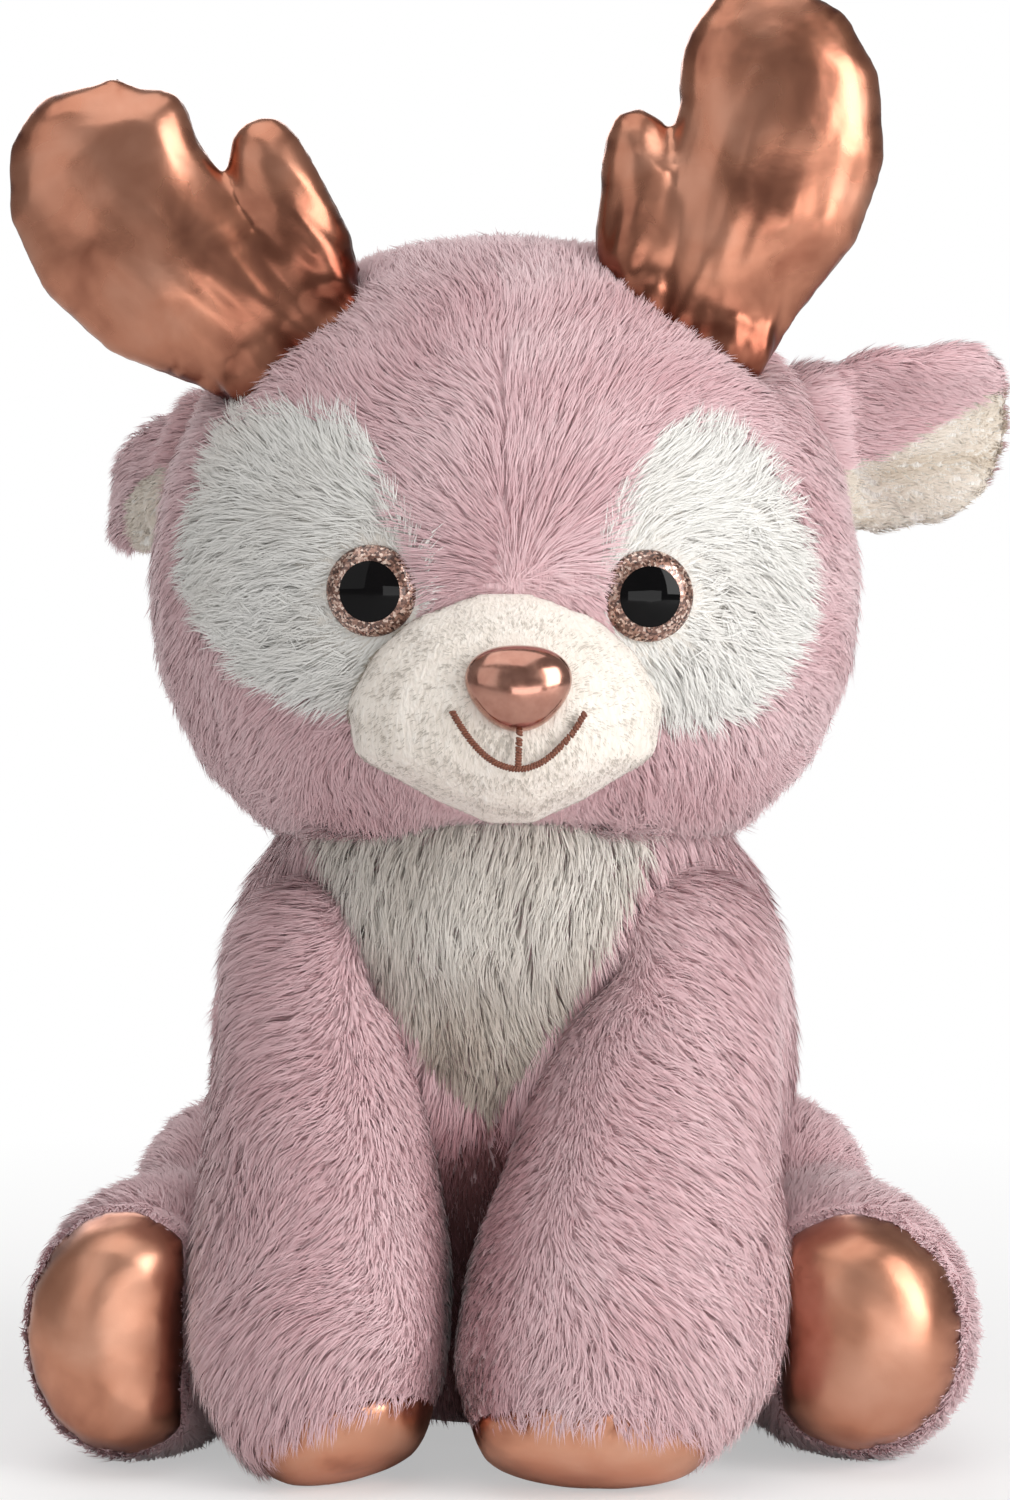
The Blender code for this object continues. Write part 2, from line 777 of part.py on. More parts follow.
def stem_hole(frame):
    return rod("stem_hole", frame, STEM_RADIUS + GAP, -HOLE_DEPTH, HOLE_DEPTH, HOLE_POINTS)


def eye_seat(frame):
    return rod("eye_seat", frame, EYE_RADIUS + GAP, -GAP, HOLE_DEPTH, EYE_POINTS)


def muzzle_form(head, depth=0.0, fine=True):
    z = HEAD_BASE_HEIGHT + MUZZLE_UP_SHARE * HEAD_HEIGHT
    face, _ = front_hit(head, 0.0, z)
    tip = face - Y * MUZZLE_REACH - Z * MUZZLE_DROP
    back = tip + Y * MUZZLE_LENGTH + Z * MUZZLE_DROP

    def place(share, values):
        width, height, lift = values
        middle = back.lerp(tip, share) + Z * (lift * MUZZLE_HEIGHT)
        return middle, width * MUZZLE_WIDTH / 2, height * MUZZLE_HEIGHT / 2

    grid = (LIMB_FINE, LIMB_FINE_RINGS) if fine else (LIMB_COARSE, LIMB_COARSE_RINGS)
    form = swelling("muzzle", place, X, Z, MUZZLE_SHARES, MUZZLE_FULLNESS, fine, grid, taper=MUZZLE_TAPER_SHARE)
    return inset(form, depth)


def nose_frame(muzzle):
    z = HEAD_BASE_HEIGHT + MUZZLE_UP_SHARE * HEAD_HEIGHT + NOSE_UP
    place, normal = front_hit(muzzle, NOSE_ASIDE, z)
    look = normal.lerp(-Y, EYE_FACING_SHARE).normalized()
    centre = place - look * NOSE_SINK
    aside = X - look * X.dot(look)
    aside.normalize()
    return basis(aside, look.cross(aside), look, centre)


def nose_ring(frame, size, height):
    ring = []
    for i in range(EYE_POINTS):
        turn = 2 * math.pi * i / EYE_POINTS
        reach = size * (1 + NOSE_CORNER_SHARE * math.sin(3 * turn))
        x = NOSE_WIDTH / 2 * reach * math.cos(turn)
        y = NOSE_HEIGHT / 2 * reach * math.sin(turn)
        ring.append(frame @ Vector((x, y, height)))
    return ring


def nose_button(frame, wall):
    rings = [nose_ring(frame, size[0], share * NOSE_THICKNESS) for share, *size in NOSE_SHARES]
    mesh = skin("nose", rings, frame.translation, frame @ (Z * NOSE_THICKNESS))
    stem = rod("nose_stem", frame, STEM_RADIUS, -wall - STEM_LENGTH, NOSE_SINK, EYE_POINTS)
    return with_all(add("nose", mesh), stem)


def nose_seat(frame):
    grown = 1 + GAP / (NOSE_HEIGHT / 2)
    rings = [nose_ring(frame, grown, height) for height in (-GAP, NOSE_THICKNESS)]
    return add("nose_seat", skin("nose_seat", rings, frame @ (Z * -GAP), frame @ (Z * NOSE_THICKNESS)))


def thread(name, points):
    """A round thread with closed ends through these points."""
    curve = bpy.data.curves.new(name, "CURVE")
    curve.dimensions = "3D"
    curve.bevel_depth = THREAD_RADIUS
    curve.bevel_resolution = 1
    curve.use_fill_caps = True
    line = curve.splines.new("POLY")
    line.points.add(len(points) - 1)
    for point, place in zip(line.points, points):
        point.co = (*place, 1)
    thing = add(name, curve)
    evaluated = thing.evaluated_get(bpy.context.evaluated_depsgraph_get())
    mesh = bpy.data.meshes.new_from_object(evaluated)
    bpy.data.objects.remove(thing)
    shape = bmesh.new()
    shape.from_mesh(mesh)
    bmesh.ops.remove_doubles(shape, verts=shape.verts, dist=THREAD_RADIUS / COARSE)
    bmesh.ops.recalc_face_normals(shape, faces=shape.faces)
    shape.to_mesh(mesh)
    shape.free()
    return add(name, mesh)


def mouth(muzzle, head):
    """A smile with one upright stitch, laid on the muzzle."""
    top = HEAD_BASE_HEIGHT + MUZZLE_UP_SHARE * HEAD_HEIGHT + MOUTH_UP

    def on_muzzle(x, z):
        place, normal = front_hit(muzzle, x, z)
        return place + normal * (THREAD_RADIUS + MOUTH_LIFT)

    smile = []
    for i in range(MOUTH_POINTS):
        share = 2 * i / (MOUTH_POINTS - 1) - 1
        x = NOSE_ASIDE + share * MOUTH_WIDTH / 2
        smile.append(on_muzzle(x, top - MOUTH_HEIGHT + MOUTH_DROP * share**2))
    upright = [on_muzzle(NOSE_ASIDE, top - share * MOUTH_HEIGHT) for share in UPRIGHT_SHARES]
    return with_all(thread("mouth", smile), thread("mouth_upright", upright))


def ear_frame(head, ear):
    """The hinge line along the ear's seam, where it points, where its lining faces, its width and its taper."""
    centre = Vector((0, 0, HEAD_BASE_HEIGHT + HEAD_HEIGHT / 2))
    place, normal = outward_hit(head, centre, Vector(ear["base_share"]))
    out = Vector(ear["out"]).normalized()
    face = Vector(ear["face"])
    face = (face - out * face.dot(out)).normalized()
    return place + normal * EAR_ROOT_OUT, out, face, ear["width"], ear["tip_share"]


def ear_leaf(name, frame, width_share, start, end, thickness, side):
    """One half of the leaf: the furry back bulges away from the face side, the lining towards it."""
    centre, out, face, full_width, tip_share = frame

    def place(share, values):
        wide, thick = values
        wide *= width_share * (1 - (1 - tip_share) * share)
        middle = centre + out * (start + share * (end - start)) + face * (side * GAP / 2)
        return middle, wide * full_width / 2, thick * thickness

    lift = face * side
    bend = -EAR_CUP * side
    grid = (EAR_POINTS, COARSE_RINGS)
    across = face.cross(out)
    return swelling(name, place, across, lift, EAR_SHARES, EAR_FULLNESS, grid=grid, front_share=0.0, cup=bend)


def ear_root(frame, growth=0.0):
    centre, out, face, full_width, _ = frame
    half_length = full_width * EAR_ROOT_SHARE / 2
    return roll("ear_root", basis(out, face, out.cross(face), centre), EAR_ROOT_RADIUS, half_length, growth)


def ear_parts(sign, frame):
    side = side_name(sign)
    centre, out, face = frame[:3]
    back = ear_leaf("ear_back_" + side, frame, 1.0, -EAR_ROOT_DEPTH, EAR_LENGTH, EAR_BACK_THICKNESS, -1)
    back = less(back, beyond("below", -out, centre + out * GAP))
    back = clear_of(back, lambda: head_form(-SWEEP_ROOM), centre, out.cross(face), FLAP_ANGLES)
    back = with_all(back, ear_root(frame))
    start = EAR_ROOT_RADIUS + GAP
    end = EAR_LENGTH * EAR_LINING_LENGTH_SHARE
    lining = ear_leaf("ear_lining_" + side, frame, EAR_LINING_SHARE, start, end, EAR_LINING_THICKNESS, 1)
    lining = less(lining, inset(copy_of(back), -GAP))
    return back, lining


def antler_frame(head, antler, sign):
    """The hinge's middle, the way out square to the seam, and the antler's own directions."""
    above = Vector((sign * antler["spread"], -ANTLER_FORWARD, OVERRUN + HEAD_BASE_HEIGHT))
    place, _ = surface_hit(head, above, -Z)
    centre = place - Z * ANTLER_SINK
    square = Vector((sign * math.sin(antler["seam_tilt"]), 0, math.cos(antler["seam_tilt"])))
    return centre, square, sign, antler


def leaning(sign, tilt):
    """The directions along and outward across something that leans to its own side by this angle."""
    along = Vector((sign * math.sin(tilt), 0, math.cos(tilt)))
    across = Vector((sign * math.cos(tilt), 0, -math.sin(tilt)))
    return along, across


def antler_form(frame, depth=0.0, fine=True):
    """Lobe and tine as far as the head, on the roll that turns in the head."""
    centre, square, sign, antler = frame
    along, across = leaning(sign, antler["tilt"])
    tine_along, tine_across = leaning(sign, antler["tilt"] + antler["tine_tilt"])

    def lobe_place(share, values):
        wide, thick, aside = values
        reach = share * (ANTLER_LENGTH + ANTLER_ROOT_DEPTH) - ANTLER_ROOT_DEPTH
        middle = centre + along * reach + across * (aside * ANTLER_LOBE_WIDTH)
        return middle, wide * ANTLER_LOBE_WIDTH / 2, thick * ANTLER_THICKNESS / 2

    def tine_place(share, values):
        wide, thick, aside = values
        base = centre + across * ANTLER_TINE_ASIDE
        middle = base + tine_along * (share * ANTLER_TINE_LENGTH) + tine_across * (aside * ANTLER_TINE_WIDTH)
        return middle, wide * ANTLER_TINE_WIDTH / 2, thick * ANTLER_TINE_THICKNESS / 2

    lobe = inset(limb("lobe", lobe_place, across, Y, LOBE_SHARES, ANTLER_FULLNESS, fine), depth)
    lobe = less(lobe, beyond("below", -square, centre + square * GAP))
    tine = inset(limb("tine", tine_place, tine_across, Y, TINE_SHARES, ANTLER_FULLNESS, fine), depth)
    form = with_all(lobe, tine)
    form = clear_of(form, lambda: head_form(-SWEEP_ROOM - depth), centre, square.cross(Y), SWAY_ANGLES)
    return with_all(form, antler_root(frame, depth))


def antler_root(frame, depth=0.0, growth=0.0):
    centre, square, _, _ = frame
    half_length = ANTLER_BASE_WIDTH / 2 - depth
    placed = basis(square, Y, square.cross(Y), centre)
    return roll("antler_root", placed, ANTLER_ROOT_RADIUS - depth, half_length, growth)


def antler_parts(sign, frame):
    side = side_name(sign)
    shell = less(antler_form(frame), antler_form(frame, FOIL_WALL, False))
    front = less(copy_of(shell), beyond("behind", Y, frame[0] - Y * (GAP / 2)))
    back = less(shell, beyond("before", -Y, frame[0] + Y * (GAP / 2)))
    filling = antler_form(frame, FOIL_WALL + GAP, False)
    front.name = "antler_front_" + side
    back.name = "antler_back_" + side
    return front, back, filling


def shoulder(leg, sign):
    return Vector((sign * leg["shoulder"], -SHOULDER_FORWARD, SHOULDER_HEIGHT))


def shoulder_ball(leg, sign, depth=0.0, fine=True, growth=0.0):
    radius = leg["radius"] - depth
    return ball("shoulder", facing(X, shoulder(leg, sign)), radius, radius, fine, growth)


def front_leg_form(leg, sign, depth=0.0, fine=True):
    start = shoulder(leg, sign)
    half_depth = leg["depth"] / 2
    foot = Vector((leg["foot"][0], leg["foot"][1], half_depth - FLOOR_CUT))
    toward = (foot - start).normalized()
    up = toward.cross(X).normalized()
    top = start - toward * LEG_START
    end = foot + toward * half_depth

    def place(share, values):
        wide, thick = (leg["radius"] + grown * (full / 2 - leg["radius"]) for grown, full in zip(
            values, (leg["width"], leg["depth"])))
        return top.lerp(end, share), wide, thick

    form = inset(limb("front_leg", place, X, up, FRONT_LEG_SHARES, LEG_FULLNESS, fine), depth)
    form = clear_of(form, lambda: inset(body_form(), -SWEEP_ROOM - depth), start, -X, SWING_ANGLES)
    form = less(form, beyond("above", -toward, start + toward * (leg["radius"] * ROOT_CUT_SHARE)))
    form = with_all(form, shoulder_ball(leg, sign, depth, fine))
    return less(form, beyond("floor", -Z, Vector((0, 0, depth))))


def panel_of(shell, block_direction, point):
    """Splits a shell at a flat cut, and returns (the rest, the panel beyond the cut)."""
    direction = Vector(block_direction).normalized()
    panel = only(copy_of(shell), beyond("panel", direction, point + direction * GAP / 2))
    rest = less(shell, beyond("rest", direction, point - direction * GAP / 2))
    return rest, panel


def lowest_toward(form, direction):
    """The point of the form that lies furthest along direction."""
    return max((point.co for point in form.data.vertices), key=lambda co: co.dot(direction)).copy()


def front_leg_parts(leg, sign):
    form = front_leg_form(leg, sign)
    facing_way = Vector(leg["sole_facing"]).normalized()
    cut = lowest_toward(form, facing_way) - facing_way * SOLE_DEPTH
    shell = less(form, front_leg_form(leg, sign, PLUSH_WALL, False))
    cover, sole = panel_of(shell, facing_way, cut)
    filling = front_leg_form(leg, sign, PLUSH_WALL + GAP, False)
    return cover, sole, filling


def hip(sign):
    return Vector((sign * HIP_SPREAD, HIP_BACK, HIP_RADIUS - FLOOR_CUT))


def hind_leg_way(leg, sign):
    foot = Vector((leg["foot"][0], leg["foot"][1], 0))
    start = hip(sign)
    return (foot - Vector((start.x, start.y, 0))).normalized()


def hip_frame(leg, sign):
    return facing(hind_leg_way(leg, sign).cross(Z), hip(sign))


def hind_leg_form(leg, sign, depth=0.0, fine=True):
    start = hip(sign)
    way = hind_leg_way(leg, sign)
    across = way.cross(Z).normalized()
    half_height = leg["height"] / 2
    end = Vector((leg["foot"][0], leg["foot"][1], half_height - FLOOR_CUT))
    begin = Vector((start.x, start.y, half_height - FLOOR_CUT)) - way * (HIP_RADIUS * HIP_START_SHARE)

    def place(share, values):
        wide, high, _ = values
        return begin.lerp(end, share), wide * leg["width"] / 2, high * half_height

    form = inset(limb("hind_leg", place, across, Z, HIND_LEG_SHARES, HIND_FULLNESS, fine), depth)
    form = clear_of(form, lambda: inset(body_form(), -SWEEP_ROOM - depth), start, across, LIFT_ANGLES)
    thigh = ball("thigh", hip_frame(leg, sign), HIP_RADIUS - depth, HIP_THICKNESS / 2 - depth, fine)
    outward = across * math.copysign(1, across.x * sign)
    touch = start + outward * (leg["parting"] + depth)
    form = less(with_all(form, thigh), beyond("parting", -outward, touch))
    return less(form, beyond("floor", -Z, Vector((0, 0, depth))))


def hip_socket(leg, sign, fine):
    return ball("socket", hip_frame(leg, sign), HIP_RADIUS, HIP_THICKNESS / 2, fine, GAP)


def hind_leg_parts(leg, sign):
    form = hind_leg_form(leg, sign)
    facing_way = Vector(leg["pad_facing"]).normalized()
    cut = lowest_toward(form, facing_way) - facing_way * PAD_DEPTH
    shell = less(form, hind_leg_form(leg, sign, PLUSH_WALL, False))
    cover, pad = panel_of(shell, facing_way, cut)
    filling = hind_leg_form(leg, sign, PLUSH_WALL + GAP, False)
    return cover, pad, filling


def tail_place(body):
    place, _ = surface_hit(body, Vector((0, OVERRUN, TAIL_HEIGHT)), -Y)
    return place


def tail_form(base):
    way = Vector((0, math.cos(TAIL_RISE), math.sin(TAIL_RISE)))
    up = X.cross(way)

    def place(share, values):
        wide, thick, _ = values
        return base + way * (share * TAIL_LENGTH), wide * TAIL_WIDTH / 2, thick * TAIL_THICKNESS / 2

    form = swelling("tail", place, X, up, TAIL_SHARES, TAIL_FULLNESS, False)
    form = clear_of(form, lambda: inset(body_form(), -SWEEP_ROOM), base, X, WAG_ANGLES)
    root = ball("tail_root", facing(X, base), TAIL_ROOT_RADIUS, TAIL_ROOT_RADIUS, False)
    return with_all(form, root)


def tail_socket(base):
    return ball("tail_socket", facing(X, base), TAIL_ROOT_RADIUS, TAIL_ROOT_RADIUS, False, GAP)


def neck_plug(growth=0.0):
    points = COARSE
    radius = (NECK_PLUG_RADIUS + growth) / (math.cos(math.pi / points) if growth else 1.0)
    low = NECK_RADIUS - PLUSH_WALL - NECK_PLUG_DEPTH - growth
    return rod("neck_plug", Matrix.Translation(neck_centre()), radius, low, NECK_RADIUS + OVERRUN, points)


def knuckle(growth=0.0):
    """A roll about the axis that the head nods on, a little beyond the body's dome."""
    radius = (NECK_RADIUS + KNUCKLE_REACH + growth) / (math.cos(math.pi / KNUCKLE_POINTS) if growth else 1.0)
    half = NECK_PLUG_RADIUS + NOD_ROOM + KNUCKLE_REACH
    return rod("knuckle", facing(X, neck_centre()), radius, -half, half, KNUCKLE_POINTS)


def knuckle_pocket():
    """Room in the head for the neck's stuffing to nod in, with its round end seated."""
    wide = NECK_PLUG_RADIUS + NOD_ROOM
    low = NECK_RADIUS - NECK_PLUG_DEPTH
    reach = rod("reach", Matrix.Translation(neck_centre()), wide, low, NECK_RADIUS + OVERRUN)
    return only(reach, knuckle(GAP))


def pellet_bag(growth=0.0):
    centre = Vector((0, BODY_BACK, PLUSH_WALL + PELLET_BAG_HEIGHT / 2 - PELLET_BAG_SINK))
    frame = Matrix.Translation(centre) @ Matrix.Diagonal((PELLET_BAG_WIDTH, PELLET_BAG_DEPTH, PELLET_BAG_HEIGHT, 1))
    shape = ball("pellets", Matrix.Identity(4), HALF, HALF, False)
    shape.data.transform(frame)
    return inset(shape, -growth)


def bib_outline():
    middle = (BIB_ASIDE, BIB_TIP_HEIGHT + BIB_HEIGHT / 2)
    outline = [
        (BIB_ASIDE + across * BIB_WIDTH, BIB_TIP_HEIGHT + up * BIB_HEIGHT) for across, up in BIB_OUTLINE_SHARES
    ]
    return outline, middle


def cut_panel(shell, outline, middle, name):
    """Takes the front of the shell within the outline out as its own panel, with a gap at its seam."""
    front, back = -OVERRUN, -BODY_BACK
    panel = only(copy_of(shell), prism(name, outline, front, back))
    rest = less(shell, prism(name + "_hole", spread_outline(outline, middle, GAP), front, back))
    return rest, panel


def build_head(looks, head, neck):
    """The head's cover, its panels, stuffing, muzzle, nose, mouth and eyes."""
    eyes = {sign: eye_frame(head, sign) for sign in (1, -1)}
    muzzle = muzzle_form(head)
    nose = nose_frame(muzzle)
    cover = less(head_form(), head_form(PLUSH_WALL, False), neck_ball(growth=GAP), knuckle_pocket())
    filling = less(head_form(PLUSH_WALL + GAP, False), neck_ball(growth=GAP), knuckle_pocket())
    panels = {}
    for sign, frame in eyes.items():
        outline, middle = patch_outline(sign)
        cover, panels[sign] = cut_panel(cover, outline, middle, "patch")
        panels[sign] = less(panels[sign], eye_seat(frame), stem_hole(frame))
        cover = less(cover, eye_seat(frame), stem_hole(frame))
        filling = less(filling, stem_pocket(frame, PLUSH_WALL), eye_seat(frame))
    skin_shell = less(muzzle_form(head), muzzle_form(head, SHORT_PILE_WALL, False))
    skin_shell = less(skin_shell, inset(head_form(), -GAP), nose_seat(nose), stem_hole(nose))
    padding = less(muzzle_form(head, SHORT_PILE_WALL + GAP, False), inset(head_form(), -GAP))
    padding = less(padding, stem_pocket(nose, SHORT_PILE_WALL), nose_seat(nose))
    for sign, frame in eyes.items():
        skin_shell = less(skin_shell, eye_seat(frame))
        black, glitter, washer = eye_parts(frame, sign, PLUSH_WALL)
        side = side_name(sign)
        settle(black, "eye_" + side, looks["eye_black"], neck)
        settle(glitter, "eye_glitter_" + side, looks["eye_glitter"], neck)
        settle(washer, "eye_washer_" + side, looks["washer"], neck)
        settle(panels[sign], "eye_patch_" + side, looks["white_plush"], neck)
    settle(nose_button(nose, SHORT_PILE_WALL), "nose", looks["rose_gold"], neck)
    settle(lock_washer("nose_washer", nose, SHORT_PILE_WALL), "nose_washer", looks["washer"], neck)
    settle(mouth(muzzle, head), "mouth_stitching", looks["thread"], neck)
    settle(skin_shell, "muzzle_cover", looks["cream_velour"], neck)
    settle(padding, "muzzle_stuffing", looks["stuffing"], neck)
    bpy.data.objects.remove(muzzle)
    return cover, filling


def build_ears_and_antlers(looks, head, cover, filling, neck):
    for ear, sign in ((EAR_LEFT, 1), (EAR_RIGHT, -1)):
        side = side_name(sign)
        frame = ear_frame(head, ear)
        pivot = joint("ear_joint_" + side, frame[0], neck)
        back, lining = ear_parts(sign, frame)
        settle(back, "ear_back_" + side, looks["pink_plush"], pivot)
        settle(lining, "ear_lining_" + side, looks["cream_velour"], pivot)
        cover = less(cover, ear_root(frame, GAP))
        filling = less(filling, ear_root(frame, GAP))
    for antler, sign in ((ANTLER_LEFT, 1), (ANTLER_RIGHT, -1)):
        side = side_name(sign)
        frame = antler_frame(head, antler, sign)
        pivot = joint("antler_joint_" + side, frame[0], neck)
        front, back, stuffing = antler_parts(sign, frame)
        settle(front, "antler_front_" + side, looks["rose_foil"], pivot)
        settle(back, "antler_back_" + side, looks["rose_foil"], pivot)
        settle(stuffing, "antler_stuffing_" + side, looks["stuffing"], pivot)
        cover = less(cover, antler_root(frame, growth=GAP))
        filling = less(filling, antler_root(frame, growth=GAP))
    settle(cover, "head_cover", looks["pink_plush"], neck)
    settle(filling, "head_stuffing", looks["stuffing"], neck)


def build_body(looks, neck):
    legs = [(FRONT_LEFT, 1), (FRONT_RIGHT, -1)]
    hinds = [(HIND_LEFT, 1), (HIND_RIGHT, -1)]
    whole = body_form()
    tail_base = tail_place(whole)
    bpy.data.objects.remove(whole)

    def carve(thing, fine):
        sockets = [shoulder_ball(leg, sign, 0.0, fine, GAP) for leg, sign in legs]
        sockets += [hip_socket(leg, sign, fine) for leg, sign in hinds]
        return less(thing, tail_socket(tail_base), *sockets)

    cover = less(body_form(), body_form(PLUSH_WALL, False), neck_plug(GAP))
    cover = less(cover, beyond("floor", -Z, Vector((0, 0, 0))))
    cover = carve(cover, True)
    cover, bib = cut_panel(cover, *bib_outline(), "bib")
    filling = carve(less(body_form(PLUSH_WALL + GAP, False), neck_plug(GAP), pellet_bag(GAP)), False)
    bag = only(pellet_bag(), body_form(PLUSH_WALL + GAP, False))
    plug = only(knuckle(), neck_plug())
    settle(cover, "body_cover", looks["pink_plush"])
    settle(bib, "chest_bib", looks["white_plush"])
    settle(filling, "body_stuffing", looks["stuffing"])
    settle(bag, "pellet_bag", looks["pellets"])
    settle(plug, "neck_stuffing", looks["stuffing"], neck)
    tail_pivot = joint("tail_joint", tail_base)
    settle(tail_form(tail_base), "tail", looks["pink_plush"], tail_pivot)
    for leg, sign in legs:
        side = side_name(sign)
        pivot = joint("shoulder_joint_" + side, shoulder(leg, sign))
        leg_cover, sole, stuffing = front_leg_parts(leg, sign)
        settle(leg_cover, "front_leg_" + side, looks["pink_plush"], pivot)
        settle(sole, "front_sole_" + side, looks["rose_foil"], pivot)
        settle(stuffing, "front_leg_stuffing_" + side, looks["stuffing"], pivot)
    for leg, sign in hinds:
        side = side_name(sign)
        pivot = joint("hip_joint_" + side, hip(sign))
        leg_cover, pad, stuffing = hind_leg_parts(leg, sign)
        settle(leg_cover, "hind_leg_" + side, looks["pink_plush"], pivot)
        settle(pad, "hind_pad_" + side, looks["rose_foil"], pivot)
        settle(stuffing, "hind_leg_stuffing_" + side, looks["stuffing"], pivot)


def build():
    clear_scene()
    looks = {
        "pink_plush": finish("pink_plush", (0.56, 0.36, 0.37), 0.95),
        "white_plush": finish("white_plush", (0.80, 0.76, 0.70), 0.95),
        "cream_velour": finish("cream_velour", (0.80, 0.72, 0.62), 0.90),
        "rose_foil": finish("rose_foil", (0.62, 0.33, 0.24), 0.32, 1.0),
        "rose_gold": finish("rose_gold", (0.66, 0.40, 0.33), 0.16, 1.0),
        "eye_black": finish("eye_black", (0.01, 0.01, 0.012), 0.06),
        "eye_glitter": finish("eye_glitter", (0.33, 0.25, 0.24), 0.25, 0.6),
        "thread": finish("thread", (0.42, 0.22, 0.17), 0.70),
        "washer": finish("washer", (0.85, 0.85, 0.82), 0.45),
        "stuffing": finish("stuffing", (0.90, 0.90, 0.88), 1.0),
        "pellets": finish("pellets", (0.70, 0.68, 0.62), 0.90),
    }
    neck = joint("neck_joint", neck_centre())
    head = head_form()
    cover, filling = build_head(looks, head, neck)
    build_ears_and_antlers(looks, head, cover, filling, neck)
    bpy.data.objects.remove(head)
    build_body(looks, neck)


build()
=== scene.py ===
"""Looks of the seated plush deer: long pile on stuffed skins, padded foil, eyes, nose and mouth."""

import math

import bmesh
import bpy
import numpy as np
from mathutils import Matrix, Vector, noise
from mathutils.bvhtree import BVHTree
from mathutils.kdtree import KDTree


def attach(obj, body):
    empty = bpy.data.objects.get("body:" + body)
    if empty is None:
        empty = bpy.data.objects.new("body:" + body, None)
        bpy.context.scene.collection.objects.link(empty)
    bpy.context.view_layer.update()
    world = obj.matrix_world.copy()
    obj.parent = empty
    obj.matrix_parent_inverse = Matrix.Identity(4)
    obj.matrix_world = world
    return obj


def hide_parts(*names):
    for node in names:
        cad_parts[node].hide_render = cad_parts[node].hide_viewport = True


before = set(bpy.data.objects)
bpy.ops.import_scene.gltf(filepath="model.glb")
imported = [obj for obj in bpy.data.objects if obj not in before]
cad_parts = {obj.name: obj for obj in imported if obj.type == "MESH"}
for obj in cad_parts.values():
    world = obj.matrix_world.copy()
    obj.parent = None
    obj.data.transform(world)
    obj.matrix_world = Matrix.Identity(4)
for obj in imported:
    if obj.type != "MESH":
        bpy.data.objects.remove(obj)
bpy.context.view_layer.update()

SIDES = ("left", "right")
SIGN = {"left": 1, "right": -1}
MM = 0.001


def spot(*rows):
    """Places and directions as vectors."""
    return tuple(Vector(row) for row in rows)


# Places and directions of the frame's features, in metres
# Eyes and nose: centre, the way they look, and the way to the toy's left
EYES = {
    "left": spot((0.0378, -0.07531, 0.23552), (0.1574, -0.9869, -0.0344), (0.9875, 0.1575, 0.0)),
    "right": spot((-0.0352, -0.07615, 0.23692), (-0.1574, -0.9869, -0.0344), (0.9875, -0.1575, 0.0)),
}
NOSE = spot((0.00343, -0.10264, 0.21234), (0.0362, -0.9954, 0.0886), (0.9993, 0.036, -0.0032))
# Antlers: middle of the base, along the lobe, and across it to the outer side
ANTLERS = {
    "left": spot((0.052, -0.024, 0.3088), (0.2672, 0.0, 0.9636), (0.9636, 0.0, -0.2672)),
    "right": spot((-0.0585, -0.024, 0.30339), (-0.7009, 0.0, 0.7133), (-0.7133, 0.0, -0.7009)),
}
# Ears: middle of the base, outwards, and the way the lining faces
EARS = {
    "left": spot((0.08825, 0.01237, 0.27446), (0.9697, 0.1212, 0.2121), (0.2113, -0.8519, -0.4791)),
    "right": spot((-0.0901, 0.01472, 0.26859), (-0.4601, 0.8602, -0.22), (-0.8294, -0.3279, 0.4524)),
}
# Foil ends of the legs: a point on the seam's plane, and the way the foil faces
HIND_PADS = {
    "left": spot((0.08698, -0.07694, 0.03548), (-0.2145, -0.975, 0.0585)),
    "right": spot((-0.10826, -0.07862, 0.03546), (-0.0993, -0.9933, 0.0596)),
}
FRONT_SOLES = {
    "left": spot((0.02153, -0.11338, 0.01735), (-0.0603, -0.4221, -0.9045)),
    "right": spot((-0.04996, -0.10541, 0.01528), (0.2618, -0.3826, -0.886)),
}
# Legs: where each starts and where its foot is
FRONT_LEGS = {
    "left": spot((0.0465, -0.026, 0.129), (0.027, -0.096, 0.037)),
    "right": spot((-0.051, -0.026, 0.129), (-0.048, -0.09, 0.035)),
}
HIND_LEGS = {
    "left": spot((0.079, 0.007, 0.0445), (0.104, -0.094, 0.037)),
    "right": spot((-0.079, 0.007, 0.0445), (-0.11, -0.096, 0.037)),
}
# The way the tail points, the bridge of the nose, the muzzle, and the middle of the gap between the legs
TAIL_WAY = Vector((0, 0.906, 0.423))
BRIDGE = (0.003, -0.088, 0.236)
MUZZLE_CENTRE = (0.0, 0.0, 0.205)
MUZZLE_RADIUS = 0.034
HEAD_HALF_WIDTH = 0.09
LEG_GAP_X = -0.004

# Solids that one skin stands for; where there are two skins, the side is added
BODY_SOLIDS = ["body_cover", "chest_bib", "body_stuffing", "pellet_bag"]
HEAD_SOLIDS = ["head_cover", "eye_patch_left", "eye_patch_right", "head_stuffing"]
MUZZLE_SOLIDS = ["muzzle_cover", "muzzle_stuffing"]
FRONT_LEG_SOLIDS = ("front_leg_", "front_sole_", "front_leg_stuffing_")
HIND_LEG_SOLIDS = ("hind_leg_", "hind_pad_", "hind_leg_stuffing_")
ANTLER_SOLIDS = ("antler_front_", "antler_back_", "antler_stuffing_")
EAR_SOLIDS = ("ear_back_", "ear_lining_")

